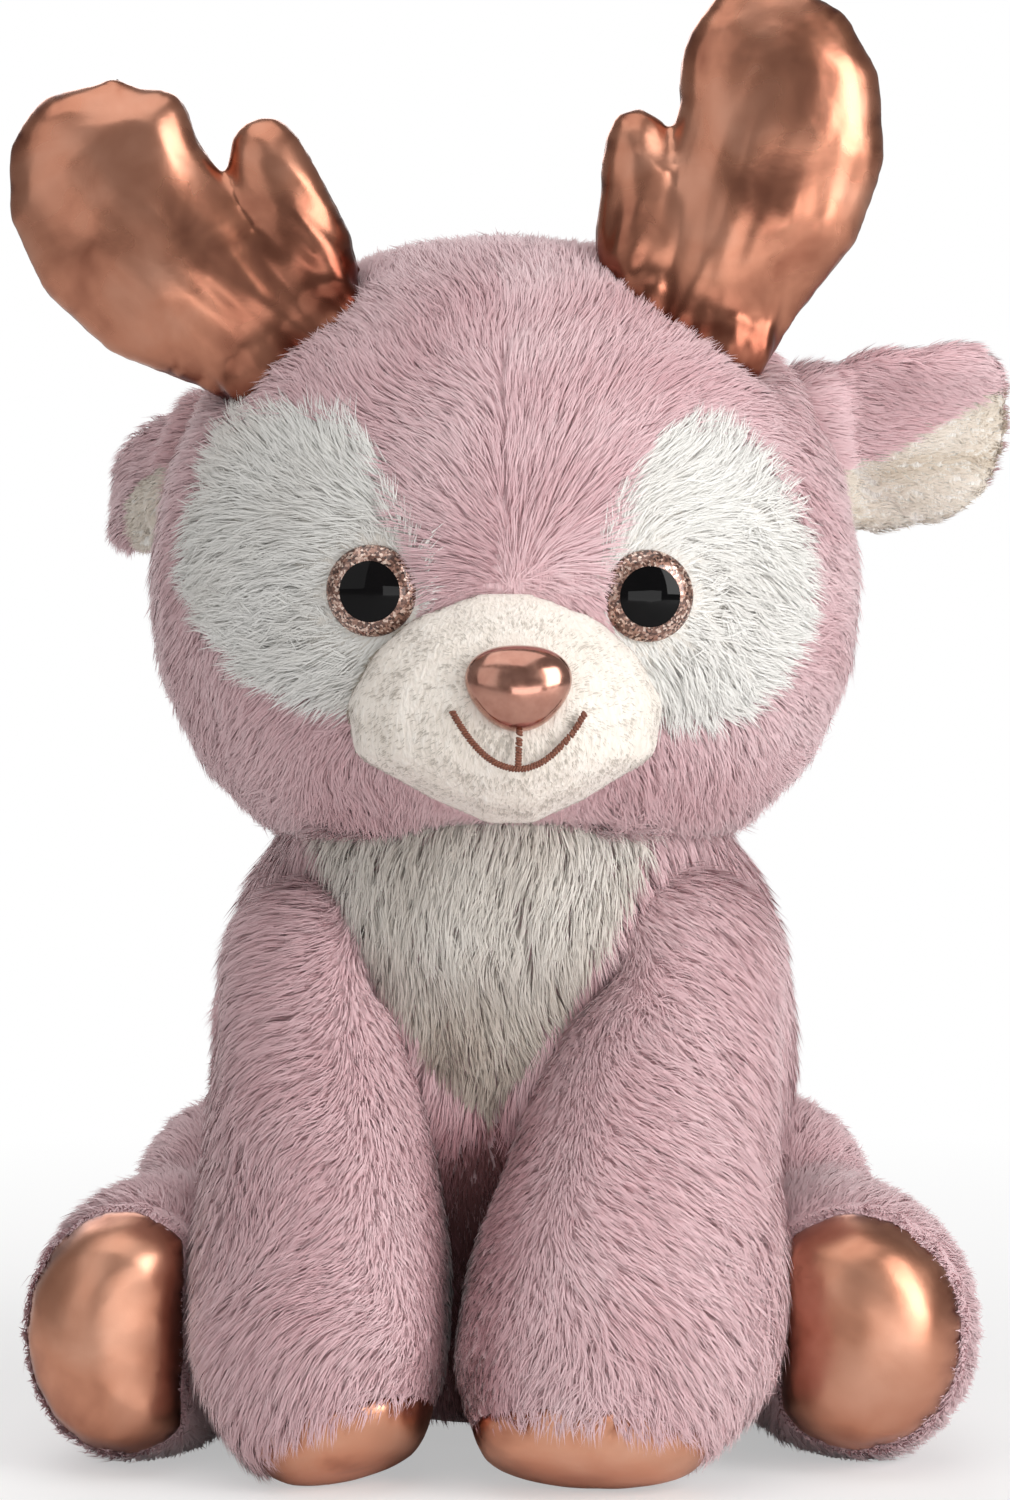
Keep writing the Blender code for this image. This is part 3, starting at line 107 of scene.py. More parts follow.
# Pile: hairs to a square millimetre of cloth, the seed, and the skins that hide some of it
PILES = {
    "head": (2.1, 11, ["torso", "ear_left", "ear_right"]),
    "muzzle": (2.8, 12, ["head"]),
    "torso": (2.0, 13, [
        "head", "front_leg_left", "front_leg_right", "hind_leg_left", "hind_leg_right", "tail",
    ]),
    "front_leg_": (2.05, 14, ["torso", "head"]),
    "hind_leg_": (1.95, 15, ["torso"]),
    "ear_": (3.0, 16, ["head"]),
    "tail": (2.2, 18, ["torso"]),
}
# Lengths and width of the hairs in millimetres, and gaps in metres
HEAD_HAIR, PATCH_HAIR, MUZZLE_HAIR, BODY_HAIR, BIB_HAIR = 9.5, 10.0, 2.6, 11.5, 13.0
FRONT_LEG_HAIR, HIND_LEG_HAIR, EAR_HAIR, LINING_HAIR, TAIL_HAIR = 10.0, 8.5, 7.5, 4.2, 10.0
HAIR_WIDTH = 0.38
ROOT_SINK = 0.0006
HIDDEN_DEPTH = 0.005
SEARCH_REACH = 0.025
FLOOR_GAP = 0.0003
EYE_OPENING = 0.0112
CELL_SHARE = 0.72

# Seams of the white panels and the bib, across and up, in metres
PATCH_SEAMS = {
    "right": [
        (-0.0731, 0.2830), (-0.0634, 0.2842), (-0.0507, 0.2822), (-0.0404, 0.2786), (-0.0324, 0.2726),
        (-0.0286, 0.2613), (-0.0228, 0.2486), (-0.0205, 0.2330), (-0.0280, 0.2236), (-0.0330, 0.2164),
        (-0.0390, 0.2052), (-0.0562, 0.2089), (-0.0672, 0.2144), (-0.0768, 0.2233), (-0.0828, 0.2324),
        (-0.0862, 0.2428), (-0.0850, 0.2532), (-0.0802, 0.2678), (-0.0768, 0.2786),
    ],
    "left": [
        (0.0406, 0.2776), (0.0515, 0.2798), (0.0592, 0.2776), (0.0698, 0.2690), (0.0770, 0.2575),
        (0.0808, 0.2453), (0.0808, 0.2324), (0.0778, 0.2219), (0.0718, 0.2131), (0.0638, 0.2054),
        (0.0539, 0.2029), (0.0400, 0.2046), (0.0360, 0.2130), (0.0320, 0.2204), (0.0265, 0.2306),
        (0.0251, 0.2371), (0.0261, 0.2486), (0.0302, 0.2625), (0.0354, 0.2716),
    ],
}
BIB_SEAM = [
    (-0.0500, 0.1850), (-0.0487, 0.1637), (-0.0427, 0.1508), (-0.0329, 0.1321), (-0.0205, 0.1110),
    (-0.0041, 0.0945), (0.0068, 0.1112), (0.0191, 0.1328), (0.0302, 0.1515), (0.0372, 0.1647),
    (0.0390, 0.1850),
]

# The cream inside each ear, across and up
EAR_CREAM = {
    "left": [
        (0.0850, 0.2660), (0.0930, 0.2688), (0.1036, 0.2731), (0.1142, 0.2794), (0.1273, 0.2879),
        (0.1373, 0.2928), (0.1600, 0.2960), (0.1600, 0.2200), (0.0850, 0.2200),
    ],
    "right": [
        (-0.0930, 0.2725), (-0.0985, 0.2705), (-0.1055, 0.2660), (-0.1100, 0.2610), (-0.1095, 0.2540),
        (-0.1060, 0.2430), (-0.0900, 0.2350),
    ],
}


# Materials

def linear(red, green, blue):
    """A colour as seen on screen, 0 to 255, as light."""
    shares = (value / 255 for value in (red, green, blue))
    return tuple(((s + 0.055) / 1.055) ** 2.4 if s > 10 / 255 else s / 12.92 for s in shares) + (1.0,)


class Look:
    """A material's node tree, with short ways to add and link nodes."""

    def __init__(self, name, roughness, metallic, colour):
        self.material = bpy.data.materials.new(name)
        self.material.use_nodes = True
        self.tree = self.material.node_tree
        self.shader = self.tree.nodes["Principled BSDF"]
        self.set("Roughness", roughness)
        self.set("Metallic", metallic)
        self.set("Base Color", linear(*colour))
        self.material.diffuse_color = linear(*colour)

    def set(self, socket, value):
        self.shader.inputs[socket].default_value = value

    def node(self, kind, **values):
        made = self.tree.nodes.new(kind)
        for name, value in values.items():
            if hasattr(made, name):
                setattr(made, name, value)
            else:
                made.inputs[name.replace("_", " ")].default_value = value
        return made

    def link(self, out, into):
        self.tree.links.new(out, into)

    def colour_from(self, value, stops):
        self.link(self.ramp(value, stops), self.shader.inputs["Base Color"])

    def roughness_from(self, value, low, high, onto):
        self.link(self.spread(value, low, high, onto), self.shader.inputs["Roughness"])

    def object_place(self, scale=(1, 1, 1)):
        place = self.node("ShaderNodeTexCoord")
        mapping = self.node("ShaderNodeMapping", Scale=scale)
        self.link(place.outputs["Object"], mapping.inputs["Vector"])
        return mapping.outputs["Vector"]

    def noise(self, place, scale, detail, rough=0.5, bend=0.0):
        made = self.node("ShaderNodeTexNoise", Scale=scale, Detail=detail, Roughness=rough, Distortion=bend)
        self.link(place, made.inputs["Vector"])
        return made.outputs["Fac"]

    def ramp(self, value, stops):
        made = self.node("ShaderNodeValToRGB")
        ramp = made.color_ramp
        while len(ramp.elements) < len(stops):
            ramp.elements.new(0.5)
        for element, (where, colour) in zip(ramp.elements, stops):
            element.position = where
            element.color = linear(*colour)
        self.link(value, made.inputs["Fac"])
        return made.outputs["Color"]

    def spread(self, value, low, high, onto):
        least, most = onto
        made = self.node("ShaderNodeMapRange", From_Min=low, From_Max=high, To_Min=least, To_Max=most)
        self.link(value, made.inputs["Value"])
        return made.outputs["Result"]

    def combine(self, first, second, operation="ADD"):
        made = self.node("ShaderNodeMath", operation=operation)
        for value, socket in ((first, made.inputs[0]), (second, made.inputs[1])):
            if isinstance(value, (int, float)):
                socket.default_value = value
            else:
                self.link(value, socket)
        return made.outputs[0]

    def bump(self, height, strength, distance, after=None):
        made = self.node("ShaderNodeBump", Strength=strength, Distance=distance)
        self.link(height, made.inputs["Height"])
        if after is not None:
            self.link(after, made.inputs["Normal"])
        self.link(made.outputs["Normal"], self.shader.inputs["Normal"])
        return made.outputs["Normal"]


def pile_look(name, stops, sheen=0.35):
    """Hairs: painted shade where they leave the cloth, paler at their tips. Each hair carries its shade."""
    look = Look(name, 0.75, 0.0, stops[-1][1])
    shade = look.node("ShaderNodeAttribute", attribute_name="shade")
    look.colour_from(shade.outputs["Fac"], stops)
    look.set("Sheen Weight", sheen)
    look.set("Sheen Roughness", 0.45)
    look.set("Specular IOR Level", 0.25)
    return look.material


def cloth_look(name, stops):
    """The knitted ground under the pile, with the pile's own streaks, and white in the white panels."""
    look = Look(name, 0.95, 0.0, stops[1][1])
    streaks = look.noise(look.object_place((1, 1, 0.35)), 900, 3)
    blotches = look.noise(look.object_place(), 60, 3)
    mixed = look.combine(look.combine(streaks, 0.65, "MULTIPLY"), look.combine(blotches, 0.35, "MULTIPLY"))
    panel = look.node("ShaderNodeMix", data_type="RGBA")
    look.link(look.node("ShaderNodeAttribute", attribute_name="panel").outputs["Fac"], panel.inputs[0])
    look.link(look.ramp(mixed, stops), panel.inputs[6])
    look.link(look.ramp(mixed, [(0.3, (222, 216, 207)), (0.7, (238, 235, 230))]), panel.inputs[7])
    look.link(panel.outputs[2], look.shader.inputs["Base Color"])
    look.bump(streaks, 0.6, 0.0012)
    look.set("Sheen Weight", 0.3)
    return look.material


def foil_look(name, deep, middle, pale, roughness):
    """Cloth coated with rose copper foil: fine crinkles, soft creases and darker folds, which are painted
    shade.
    """
    look = Look(name, roughness, 1.0, middle)
    place = look.object_place()
    soft = look.noise(place, 45, 3, 0.5, 0.4)
    crinkle = look.noise(place, 420, 5, 0.6, 0.8)
    grain = look.noise(place, 2600, 2, 0.5)
    # The fold value is painted shade in pucker folds, at the antlers' base and at the foot pieces' rims, plus
    # the darker line along each seam
    fold = look.node("ShaderNodeAttribute", attribute_name="fold").outputs["Fac"]
    tone = look.combine(look.combine(soft, 0.76, "MULTIPLY"), look.combine(crinkle, 0.03, "MULTIPLY"))
    tone = look.combine(tone, look.combine(fold, 0.45, "MULTIPLY"), "SUBTRACT")
    look.colour_from(tone, [(0.0, deep), (0.34, middle), (0.75, pale)])
    look.roughness_from(soft, 0.3, 0.7, (roughness - 0.04, roughness + 0.06))
    first = look.bump(soft, 0.12, 0.0016)
    second = look.bump(crinkle, 0.05, 0.0005, first)
    look.bump(grain, 0.12, 0.0001, second)
    return look.material


# Colours of the piles, from painted deep shade at the bottom of each ramp, through the roots' painted shade,
# to the tips
# The first pink stop is painted shade for the gap between the front legs
PINK_STOPS = [
    (0.0, (88, 48, 45)), (0.10, (172, 124, 129)), (0.35, (211, 168, 173)), (0.7, (227, 194, 198)),
    (1.0, (236, 212, 214)),
]
WHITE_STOPS = [
    (0.0, (222, 217, 209)), (0.35, (233, 230, 225)), (0.7, (238, 237, 233)), (1.0, (242, 241, 238)),
]
CREAM_STOPS = [
    (0.0, (182, 172, 159)), (0.35, (196, 187, 175)), (0.7, (205, 197, 187)), (1.0, (211, 205, 196)),
]
EAR_STOPS = [
    (0.0, (174, 152, 130)), (0.35, (214, 201, 184)), (0.7, (229, 219, 207)), (1.0, (237, 230, 220)),
]
BIB_STOPS = [
    (0.0, (128, 112, 104)), (0.12, (186, 172, 160)), (0.35, (212, 203, 193)), (0.7, (228, 222, 214)),
    (1.0, (238, 234, 228)),
]
# Each kind of pile: its material and its slot
PINK = (pile_look("dusty_pink_pile", PINK_STOPS), "pink_plush")
WHITE = (pile_look("white_pile", WHITE_STOPS, sheen=0.25), "white_plush")
CREAM = (pile_look("cream_short_pile", CREAM_STOPS, sheen=0.12), "cream_velour")
LINING = (pile_look("ear_cream_pile", EAR_STOPS), "cream_velour")
BIB = (pile_look("cream_long_pile", BIB_STOPS), "white_plush")
# The pink ground is lighter than the pile's roots: painted light that lifts the shade in the gaps between
# hairs
PINK_GROUND = [(0.3, (196, 158, 162)), (0.5, (216, 182, 186)), (0.7, (228, 198, 201))]
CREAM_GROUND = [(0.3, (222, 212, 200)), (0.5, (236, 227, 217)), (0.7, (243, 237, 229))]
pink_cloth = cloth_look("dusty_pink_cloth", PINK_GROUND)
cream_cloth = cloth_look("cream_cloth", CREAM_GROUND)
foil = foil_look("rose_copper_foil", (98, 46, 34), (184, 126, 102), (214, 164, 141), 0.27)
pad_foil = foil_look("rose_copper_pad_foil", (112, 54, 40), (196, 138, 112), (222, 172, 148), 0.33)
# The soles' foil is paler: painted reflection of the white floor below them
sole_foil_painted_reflection = foil_look("rose_copper_sole_foil", (134, 72, 52), (217, 159, 131), (237, 195, 171), 0.33)


def noise_look(name, roughness, metallic, colour, grain, bump=None, stops=None, onto=None, scale=(1, 1, 1)):
    """A material whose relief, colour and roughness follow one noise, set by its scale, detail and so on."""
    look = Look(name, roughness, metallic, colour)
    value = look.noise(look.object_place(scale), *grain)
    if bump:
        look.bump(value, *bump)
    if stops:
        look.colour_from(value, stops)
    if onto:
        look.roughness_from(value, *onto)
    return look


def nose_look():
    """Polished metal with a faint haze."""
    look = noise_look("rose_gold_nose", 0.16, 1.0, (176, 124, 106), (220, 4, 0.6), (0.08, 0.0004),
                      [(0.2, (160, 108, 92)), (0.8, (194, 144, 126))], (0.35, 0.75, (0.13, 0.27)))
    look.set("Coat Weight", 0.5)
    look.set("Coat Roughness", 0.05)
    return look.material


def pupil_look():
    look = noise_look("black_eye", 0.04, 0.0, (7, 6, 7), (140, 2), None,
                      [(0.2, (4, 4, 5)), (0.9, (12, 10, 11))], (0.2, 0.9, (0.03, 0.06)))
    look.set("Specular IOR Level", 0.14)
    return look.material


def glitter_look():
    """Flakes under clear plastic, each with its own tilt, colour and shine."""
    look = Look("glitter_iris", 0.22, 0.75, (132, 100, 88))
    flakes = look.node("ShaderNodeTexVoronoi", Scale=1500.0)
    look.link(look.object_place(), flakes.inputs["Vector"])
    split = look.node("ShaderNodeSeparateColor")
    look.link(flakes.outputs["Color"], split.inputs["Color"])
    stops = [(0.0, (58, 38, 34)), (0.35, (112, 78, 66)), (0.7, (168, 128, 112)), (1.0, (236, 212, 198))]
    look.colour_from(split.outputs["Red"], stops)
    look.roughness_from(split.outputs["Green"], 0, 1, (0.12, 0.5))
    look.bump(split.outputs["Blue"], 0.5, 0.0004)
    look.set("Coat Weight", 1.0)
    look.set("Coat Roughness", 0.03)
    return look.material


def thread_look():
    return noise_look("brown_metallic_thread", 0.42, 0.35, (128, 78, 60), (1900, 3), (0.5, 0.0003),
                      [(0.3, (84, 46, 36)), (0.7, (150, 96, 74))], scale=(1, 1, 3)).material


def plastic_look():
    return noise_look("white_lock_plastic", 0.42, 0.0, (226, 224, 218), (500, 3), (0.15, 0.0002),
                      onto=(0.3, 0.7, (0.36, 0.5))).material


def fibre_look():
    return noise_look("white_fibre_filling", 1.0, 0.0, (236, 235, 232), (700, 5, 0.6, 2.0), (0.7, 0.001),
                      [(0.3, (208, 206, 202)), (0.7, (242, 241, 239))]).material


# Stuffed skins

def add(name, data):
    thing = bpy.data.objects.new(name, data)
    bpy.context.scene.collection.objects.link(thing)
    return thing


def take(*things):
    """Select these, with the first as the active one."""
    bpy.ops.object.select_all(action="DESELECT")
    for thing in things:
        thing.select_set(True)
    bpy.context.view_layer.objects.active = things[0]
    return things[0]


def apply_modifier(thing, kind, **values):
    take(thing)
    change = thing.modifiers.new(kind, kind)
    for name, value in values.items():
        setattr(change, name, value)
    bpy.ops.object.modifier_apply(modifier=change.name)


def keep_largest_island(thing):
    shape = bmesh.new()
    shape.from_mesh(thing.data)
    left = set(shape.verts)
    best = set()
    while left:
        island, edge = set(), [left.pop()]
        while edge:
            point = edge.pop()
            island.add(point)
            for side in point.link_edges:
                other = side.other_vert(point)
                if other in left:
                    left.remove(other)
                    edge.append(other)
        if len(island) > len(best):
            best = island
    bmesh.ops.delete(shape, geom=[point for point in shape.verts if point not in best], context="VERTS")
    shape.to_mesh(thing.data)
    shape.free()


def rows_of(items, what, width, kind=np.float32):
    """This property of a mesh's items, a row for each."""
    found = np.empty(len(items) * width, kind)
    items.foreach_get(what, found)
    return found.reshape(-1, width)


def corners_of(thing):
    return rows_of(thing.data.vertices, "co", 3).astype(float)


def normals_of(thing):
    return rows_of(thing.data.vertices, "normal", 3).astype(float)


def edges_of(thing):
    return rows_of(thing.data.edges, "vertices", 2, np.int32)


def triangles_of(thing):
    thing.data.calc_loop_triangles()
    return rows_of(thing.data.loop_triangles, "vertices", 3, np.int32)


def move_corners(thing, places):
    thing.data.vertices.foreach_set("co", np.asarray(places, np.float32).ravel())
    thing.data.update()


def smooth(thing, rounds):
    apply_modifier(thing, "SMOOTH", factor=0.5, iterations=rounds)


def finder_of(points):
    finder = KDTree(len(points))
    for i, point in enumerate(points):
        finder.insert(point, i)
    finder.balance()
    return finder


def ease(values, low, high):
    """0 below low, 1 above high and a smooth step between."""
    share = np.clip((values - low) / (high - low), 0, 1)
    return share * share * (3 - 2 * share)


def of_side(solids, side):
    return [solid + side for solid in solids]


def stuffed(name, nodes, cell, rounds, swell=0.0):
    """One closed, rounded skin over these solids of the frame."""
    skin = take(*(add(name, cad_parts[node].data.copy()) for node in nodes))
    if len(nodes) > 1:
        bpy.ops.object.join()
    skin.data.materials.clear()
    apply_modifier(skin, "REMESH", mode="VOXEL", voxel_size=cell, use_smooth_shade=True)
    keep_largest_island(skin)
    smooth(skin, rounds)
    places = corners_of(skin) + normals_of(skin) * swell
    places[:, 2] = np.maximum(places[:, 2], FLOOR_GAP)
    move_corners(skin, places)
    skin.name = name
    skin.data.name = name
    return skin


def mark(thing, name, values):
    """A value for each corner, which the material reads."""
    attribute = thing.data.attributes.new(name, "FLOAT", "POINT")
    attribute.data.foreach_set("value", values.astype(np.float32).ravel())


def dress(thing, material, body, nodes=()):
    """Give a piece its material and body, and hide the solids it replaces."""
    thing.data.materials.clear()
    thing.data.materials.append(material)
    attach(thing, body)
    if nodes:
        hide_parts(*nodes)


def tree_of(thing):
    return BVHTree.FromPolygons(corners_of(thing).tolist(), triangles_of(thing).tolist())


def depth_inside(places, trees):
    """How deep each place lies inside any of the other skins."""
    depths = np.zeros(len(places))
    for tree in trees:
        for i, place in enumerate(places):
            hit, normal, _, distance = tree.find_nearest(place, SEARCH_REACH)
            if hit is not None and (Vector(place) - hit).dot(normal) < 0:
                depths[i] = max(depths[i], distance)
    return depths


def ear_skin(side):
    """Both layers of an ear in one skin, rounded through its thickness but kept to its outline."""
    skin = stuffed("ear_skin_" + side, of_side(EAR_SOLIDS, side), 0.0016, 4, 0.0002)
    outline, face = corners_of(skin), np.array(EARS[side][2])
    smooth(skin, 16)
    back = outline - corners_of(skin)
    move_corners(skin, corners_of(skin) + (back - (back @ face)[:, None] * face) * 0.85)
    return skin


skins = {}
skins["torso"] = stuffed("body_skin", BODY_SOLIDS, 0.003, 20, 0.0006)
skins["head"] = stuffed("head_skin", HEAD_SOLIDS, 0.003, 24, 0.0008)
skins["muzzle"] = stuffed("muzzle_skin", MUZZLE_SOLIDS, 0.0018, 14, 0.0006)
for side in SIDES:
    for leg, solids in (("front_leg_", FRONT_LEG_SOLIDS), ("hind_leg_", HIND_LEG_SOLIDS)):
        skins[leg + side] = stuffed(leg + "skin_" + side, of_side(solids, side), 0.0026, 14, 0.0008)
    skins["ear_" + side] = ear_skin(side)
skins["tail"] = stuffed("tail_skin", ["tail"], 0.0018, 8, 0.0004)

# How far the front feet press out to each side where they stand, in metres
FOOT_SPREAD = {"left": (0.0095, 0.0050), "right": (0.0030, 0.0025)}
EAR_LEFT_RAISE = 0.0045
EAR_RIGHT_DRAW = 0.0100
CHIN_DRAW = 0.40


def shift(thing, axis, by):
    """Move a thing's corners along one axis, each as far as this function of their places says."""
    places = corners_of(thing)
    places[:, axis] += by(places)
    move_corners(thing, places)


def spread_foot(thing, side):
    """The front feet press out to both sides where they stand."""
    outward, inward = FOOT_SPREAD[side]

    def by(places):
        aside = (places[:, 0] - FRONT_LEGS[side][1].x) * SIGN[side]
        low = ease(-places[:, 2], -0.090, -0.030)
        return SIGN[side] * low * (outward * ease(aside, 0.004, 0.028) - inward * ease(-aside, 0.004, 0.026))

    shift(thing, 0, by)


def raise_ear(places):
    """The left ear's outer top corner stands up."""
    return EAR_LEFT_RAISE * ease(places[:, 0], 0.114, 0.134) * ease(places[:, 2], 0.268, 0.288)


def draw_ear(places):
    """The right ear's lower edge is drawn in."""
    return EAR_RIGHT_DRAW * ease(-places[:, 2], -0.262, -0.245) * ease(-places[:, 0], 0.088, 0.112)


def draw_chin(places):
    """The muzzle is drawn in sideways to a rounded chin."""
    return (NOSE[0].x - places[:, 0]) * CHIN_DRAW * ease(-places[:, 2], -0.195, -0.174)


for side in SIDES:
    spread_foot(skins["front_leg_" + side], side)
shift(skins["ear_left"], 2, raise_ear)
shift(skins["ear_right"], 0, draw_ear)
shift(skins["muzzle"], 0, draw_chin)


# Pile

def unit(rows):
    return rows / np.maximum(np.linalg.norm(rows, axis=1, keepdims=True), 1e-9)


def flat_on(rows, normals):
    """These directions laid flat on the surface."""
    return unit(rows - (rows * normals).sum(1, keepdims=True) * normals)


def part_way(values, span):
    """0 at nothing, 1 at the span and beyond."""
    return np.clip(values / span, 0, 1)


def inside(outline, x, z):
    """Which points lie inside a closed outline."""
    found = np.zeros(len(x), bool)
    for (x1, z1), (x2, z2) in zip(outline, outline[1:] + outline[:1]):
        crosses = (z1 > z) != (z2 > z)
        where = x1 + (z - z1) * (x2 - x1) / ((z2 - z1) or 1e-9)
        found ^= crosses & (x < where)
    return found


def share_seen(normals):
    """The back carries fewer, wider hairs than the front."""
    return np.clip(0.80 - 0.52 * normals[:, 1], 0.44, 1)


def scatter(pile, side=""):
    """Roots all over a skin but where it lies deep inside another: (places, smooth normals)."""
    each_square_mm, seed, hidden = PILES[pile]
    skin = skins[pile + side]
    triangles, edges = triangles_of(skin), edges_of(skin)
    places, normals = corners_of(skin), normals_of(skin)
    for _ in range(10):
        total = normals.copy()
        np.add.at(total, edges[:, 0], normals[edges[:, 1]])
        np.add.at(total, edges[:, 1], normals[edges[:, 0]])
        normals = unit(total)
    deep = depth_inside(places, [tree_of(skins[name]) for name in hidden])
    triangles = triangles[deep[triangles].max(1) < HIDDEN_DEPTH]
    a, b, c = (places[triangles[:, i]] for i in range(3))
    area = np.linalg.norm(np.cross(b - a, c - a), axis=1) / 2
    rng = np.random.default_rng(seed)
    count = int(area.sum() / MM**2 * each_square_mm)
    picked = triangles[rng.choice(len(triangles), count, p=area / area.sum())]
    first, second = np.sqrt(rng.random(count)), rng.random(count)
    weights = np.stack([1 - first, first * (1 - second), first * second], 1)[:, :, None]
    roots, normals = (places[picked] * weights).sum(1), unit((normals[picked] * weights).sum(1))
    keep = rng.random(count) < share_seen(normals)
    return roots[keep], normals[keep]


def swirl(places, size, seed):
    """A smooth field of vectors about 1 long, which turns over about this many metres."""
    rng = np.random.default_rng(seed)
    field = np.zeros(places.shape)
    for _ in range(7):
        wave = rng.normal(0, 1, 3)
        wave *= 2 * math.pi / size / np.linalg.norm(wave) * rng.uniform(0.5, 1.3)
        field += np.sin(places @ wave + rng.uniform(0, 6.28))[:, None] * rng.normal(0, 0.5, 3)
    return field


def hairs(name, roots, normals, flow, length, coat, body, seed, rise=(34, 6), tuft=2.6, pull=0.14,
          wild=0.15, tint=0.0):
    """Tapered blades that leave the cloth at rise[0] degrees and bend down to rise[1], gathered in tufts.
    Lengths and tufts are in millimetres. A negative tint is painted shade."""
    rng = np.random.default_rng(seed)
    count = len(roots)
    step = max(1, int(count * tuft**2 / max(1.0, area_covered(roots))))
    centres = np.arange(0, count, step)
    finder = finder_of(roots[centres])
    tuft_of = np.fromiter((finder.find(root)[1] for root in roots), int, count)
    length = np.broadcast_to(np.asarray(length, float), (count,)) * MM * rng.uniform(0.75, 1.15, count)
    tilt = rng.normal(0, wild, (len(centres), 3))[tuft_of] + rng.normal(0, wild * 0.6, (count, 3))
    way = flat_on(unit(flow) + tilt + swirl(roots, 0.045, seed) * 0.22, normals)
    tint = tint + swirl(roots, 0.030, seed + 1)[:, 0] * 0.07
    lift = rng.normal(0, 3, len(centres))[tuft_of] + rng.normal(0, 5, count)
    low, high = np.radians(rise[0] + lift)[:, None], np.radians(rise[1] + lift * 0.6)[:, None]
    first = way * np.cos(low) + normals * np.sin(low)
    second = way * np.cos(high) + normals * np.sin(high)
    base = roots - normals * ROOT_SINK
    middle = base + first * (length * 0.5)[:, None]
    tip = middle + second * (length * 0.55)[:, None]
    lead = centres[tuft_of]
    middle += (middle[lead] - middle) * (pull * 0.35)
    tip += (tip[lead] - tip) * (pull * rng.uniform(0.5, 1.0, count))[:, None]
    for points in (base, middle, tip):
        points[:, 2] = np.maximum(points[:, 2], FLOOR_GAP)
    thick = (HAIR_WIDTH * MM * rng.uniform(0.7, 1.25, count) / np.sqrt(share_seen(normals)))[:, None]
    across = unit(np.cross(middle - base, normals))
    roll = rng.normal(0, 0.45, count)[:, None]
    across = unit(across * np.cos(roll) + normals * np.sin(roll))
    corners = np.stack([base - across * thick / 2, base + across * thick / 2,
                        middle - across * thick * 0.42, middle + across * thick * 0.42, tip], 1)
    bent = [unit(normals + across * lean + way * 0.12) for lean in (-0.14, 0.14)]
    bent = np.stack([bent[0], bent[1], bent[0], bent[1], unit(normals + way * 0.2)], 1)
    tone = rng.normal(0, 0.04, count) + rng.normal(0, 0.03, len(centres))[tuft_of] + tint
    # Each hair gets painted shade at its root and is lightest at its tip
    shade = np.stack([tone + 0.40, tone + 0.40, tone + 0.60, tone + 0.60, tone + 0.74], 1)
    material, slot = coat
    dress(blades(name, corners, bent, np.clip(shade, 0.02, 0.98)), material, body)


def area_covered(roots):
    """Roughly how many square millimetres lie under these roots, counted in 4 mm cells."""
    cells = np.unique(np.floor(roots / 0.004).astype(int), axis=0)
    return len(cells) * 16 * CELL_SHARE


def blades(name, corners, bent, shade):
    """A mesh of blades, each a quad and a triangle, lit as the soft surface they make together."""
    count = len(corners)
    mesh = bpy.data.meshes.new(name)
    mesh.vertices.add(count * 5)
    mesh.vertices.foreach_set("co", corners.astype(np.float32).ravel())
    pattern = np.array([0, 1, 3, 2, 2, 3, 4])
    loops = (np.arange(count)[:, None] * 5 + pattern).astype(np.int32)
    mesh.loops.add(loops.size)
    mesh.loops.foreach_set("vertex_index", loops.ravel())
    mesh.polygons.add(count * 2)
    starts = (np.arange(count)[:, None] * 7 + np.array([0, 4])).astype(np.int32)
    mesh.polygons.foreach_set("loop_start", starts.ravel())
    mesh.update(calc_edges=True)
    mesh.polygons.foreach_set("use_smooth", np.ones(count * 2, bool))
    across = np.tile(np.array([0.05, 0.95, 0.05, 0.95, 0.5], np.float32), count)
    places = np.stack([shade.astype(np.float32).ravel()[loops.ravel()], across[loops.ravel()]], 1)
    mesh.uv_layers.new(name="OFBake").data.foreach_set("uv", places.ravel())
    mesh.normals_split_custom_set_from_vertices(bent.reshape(-1, 3).astype(np.float32))
    thing = add(name, mesh)
    mark(thing, "shade", shade)
    return thing


def toward(vector, like):
    return np.broadcast_to(np.array(vector, float), like.shape)


def far_from(places, centre):
    return np.linalg.norm(places - np.array(centre), axis=1)


DOWN = (0.0, 0.0, -1.0)


def quarters(places):
    back, left = places[:, 1] > 0, places[:, 0] > 0
    return {
        "front_left": ~back & left, "front_right": ~back & ~left,
        "back_left": back & left, "back_right": back & ~left,
    }


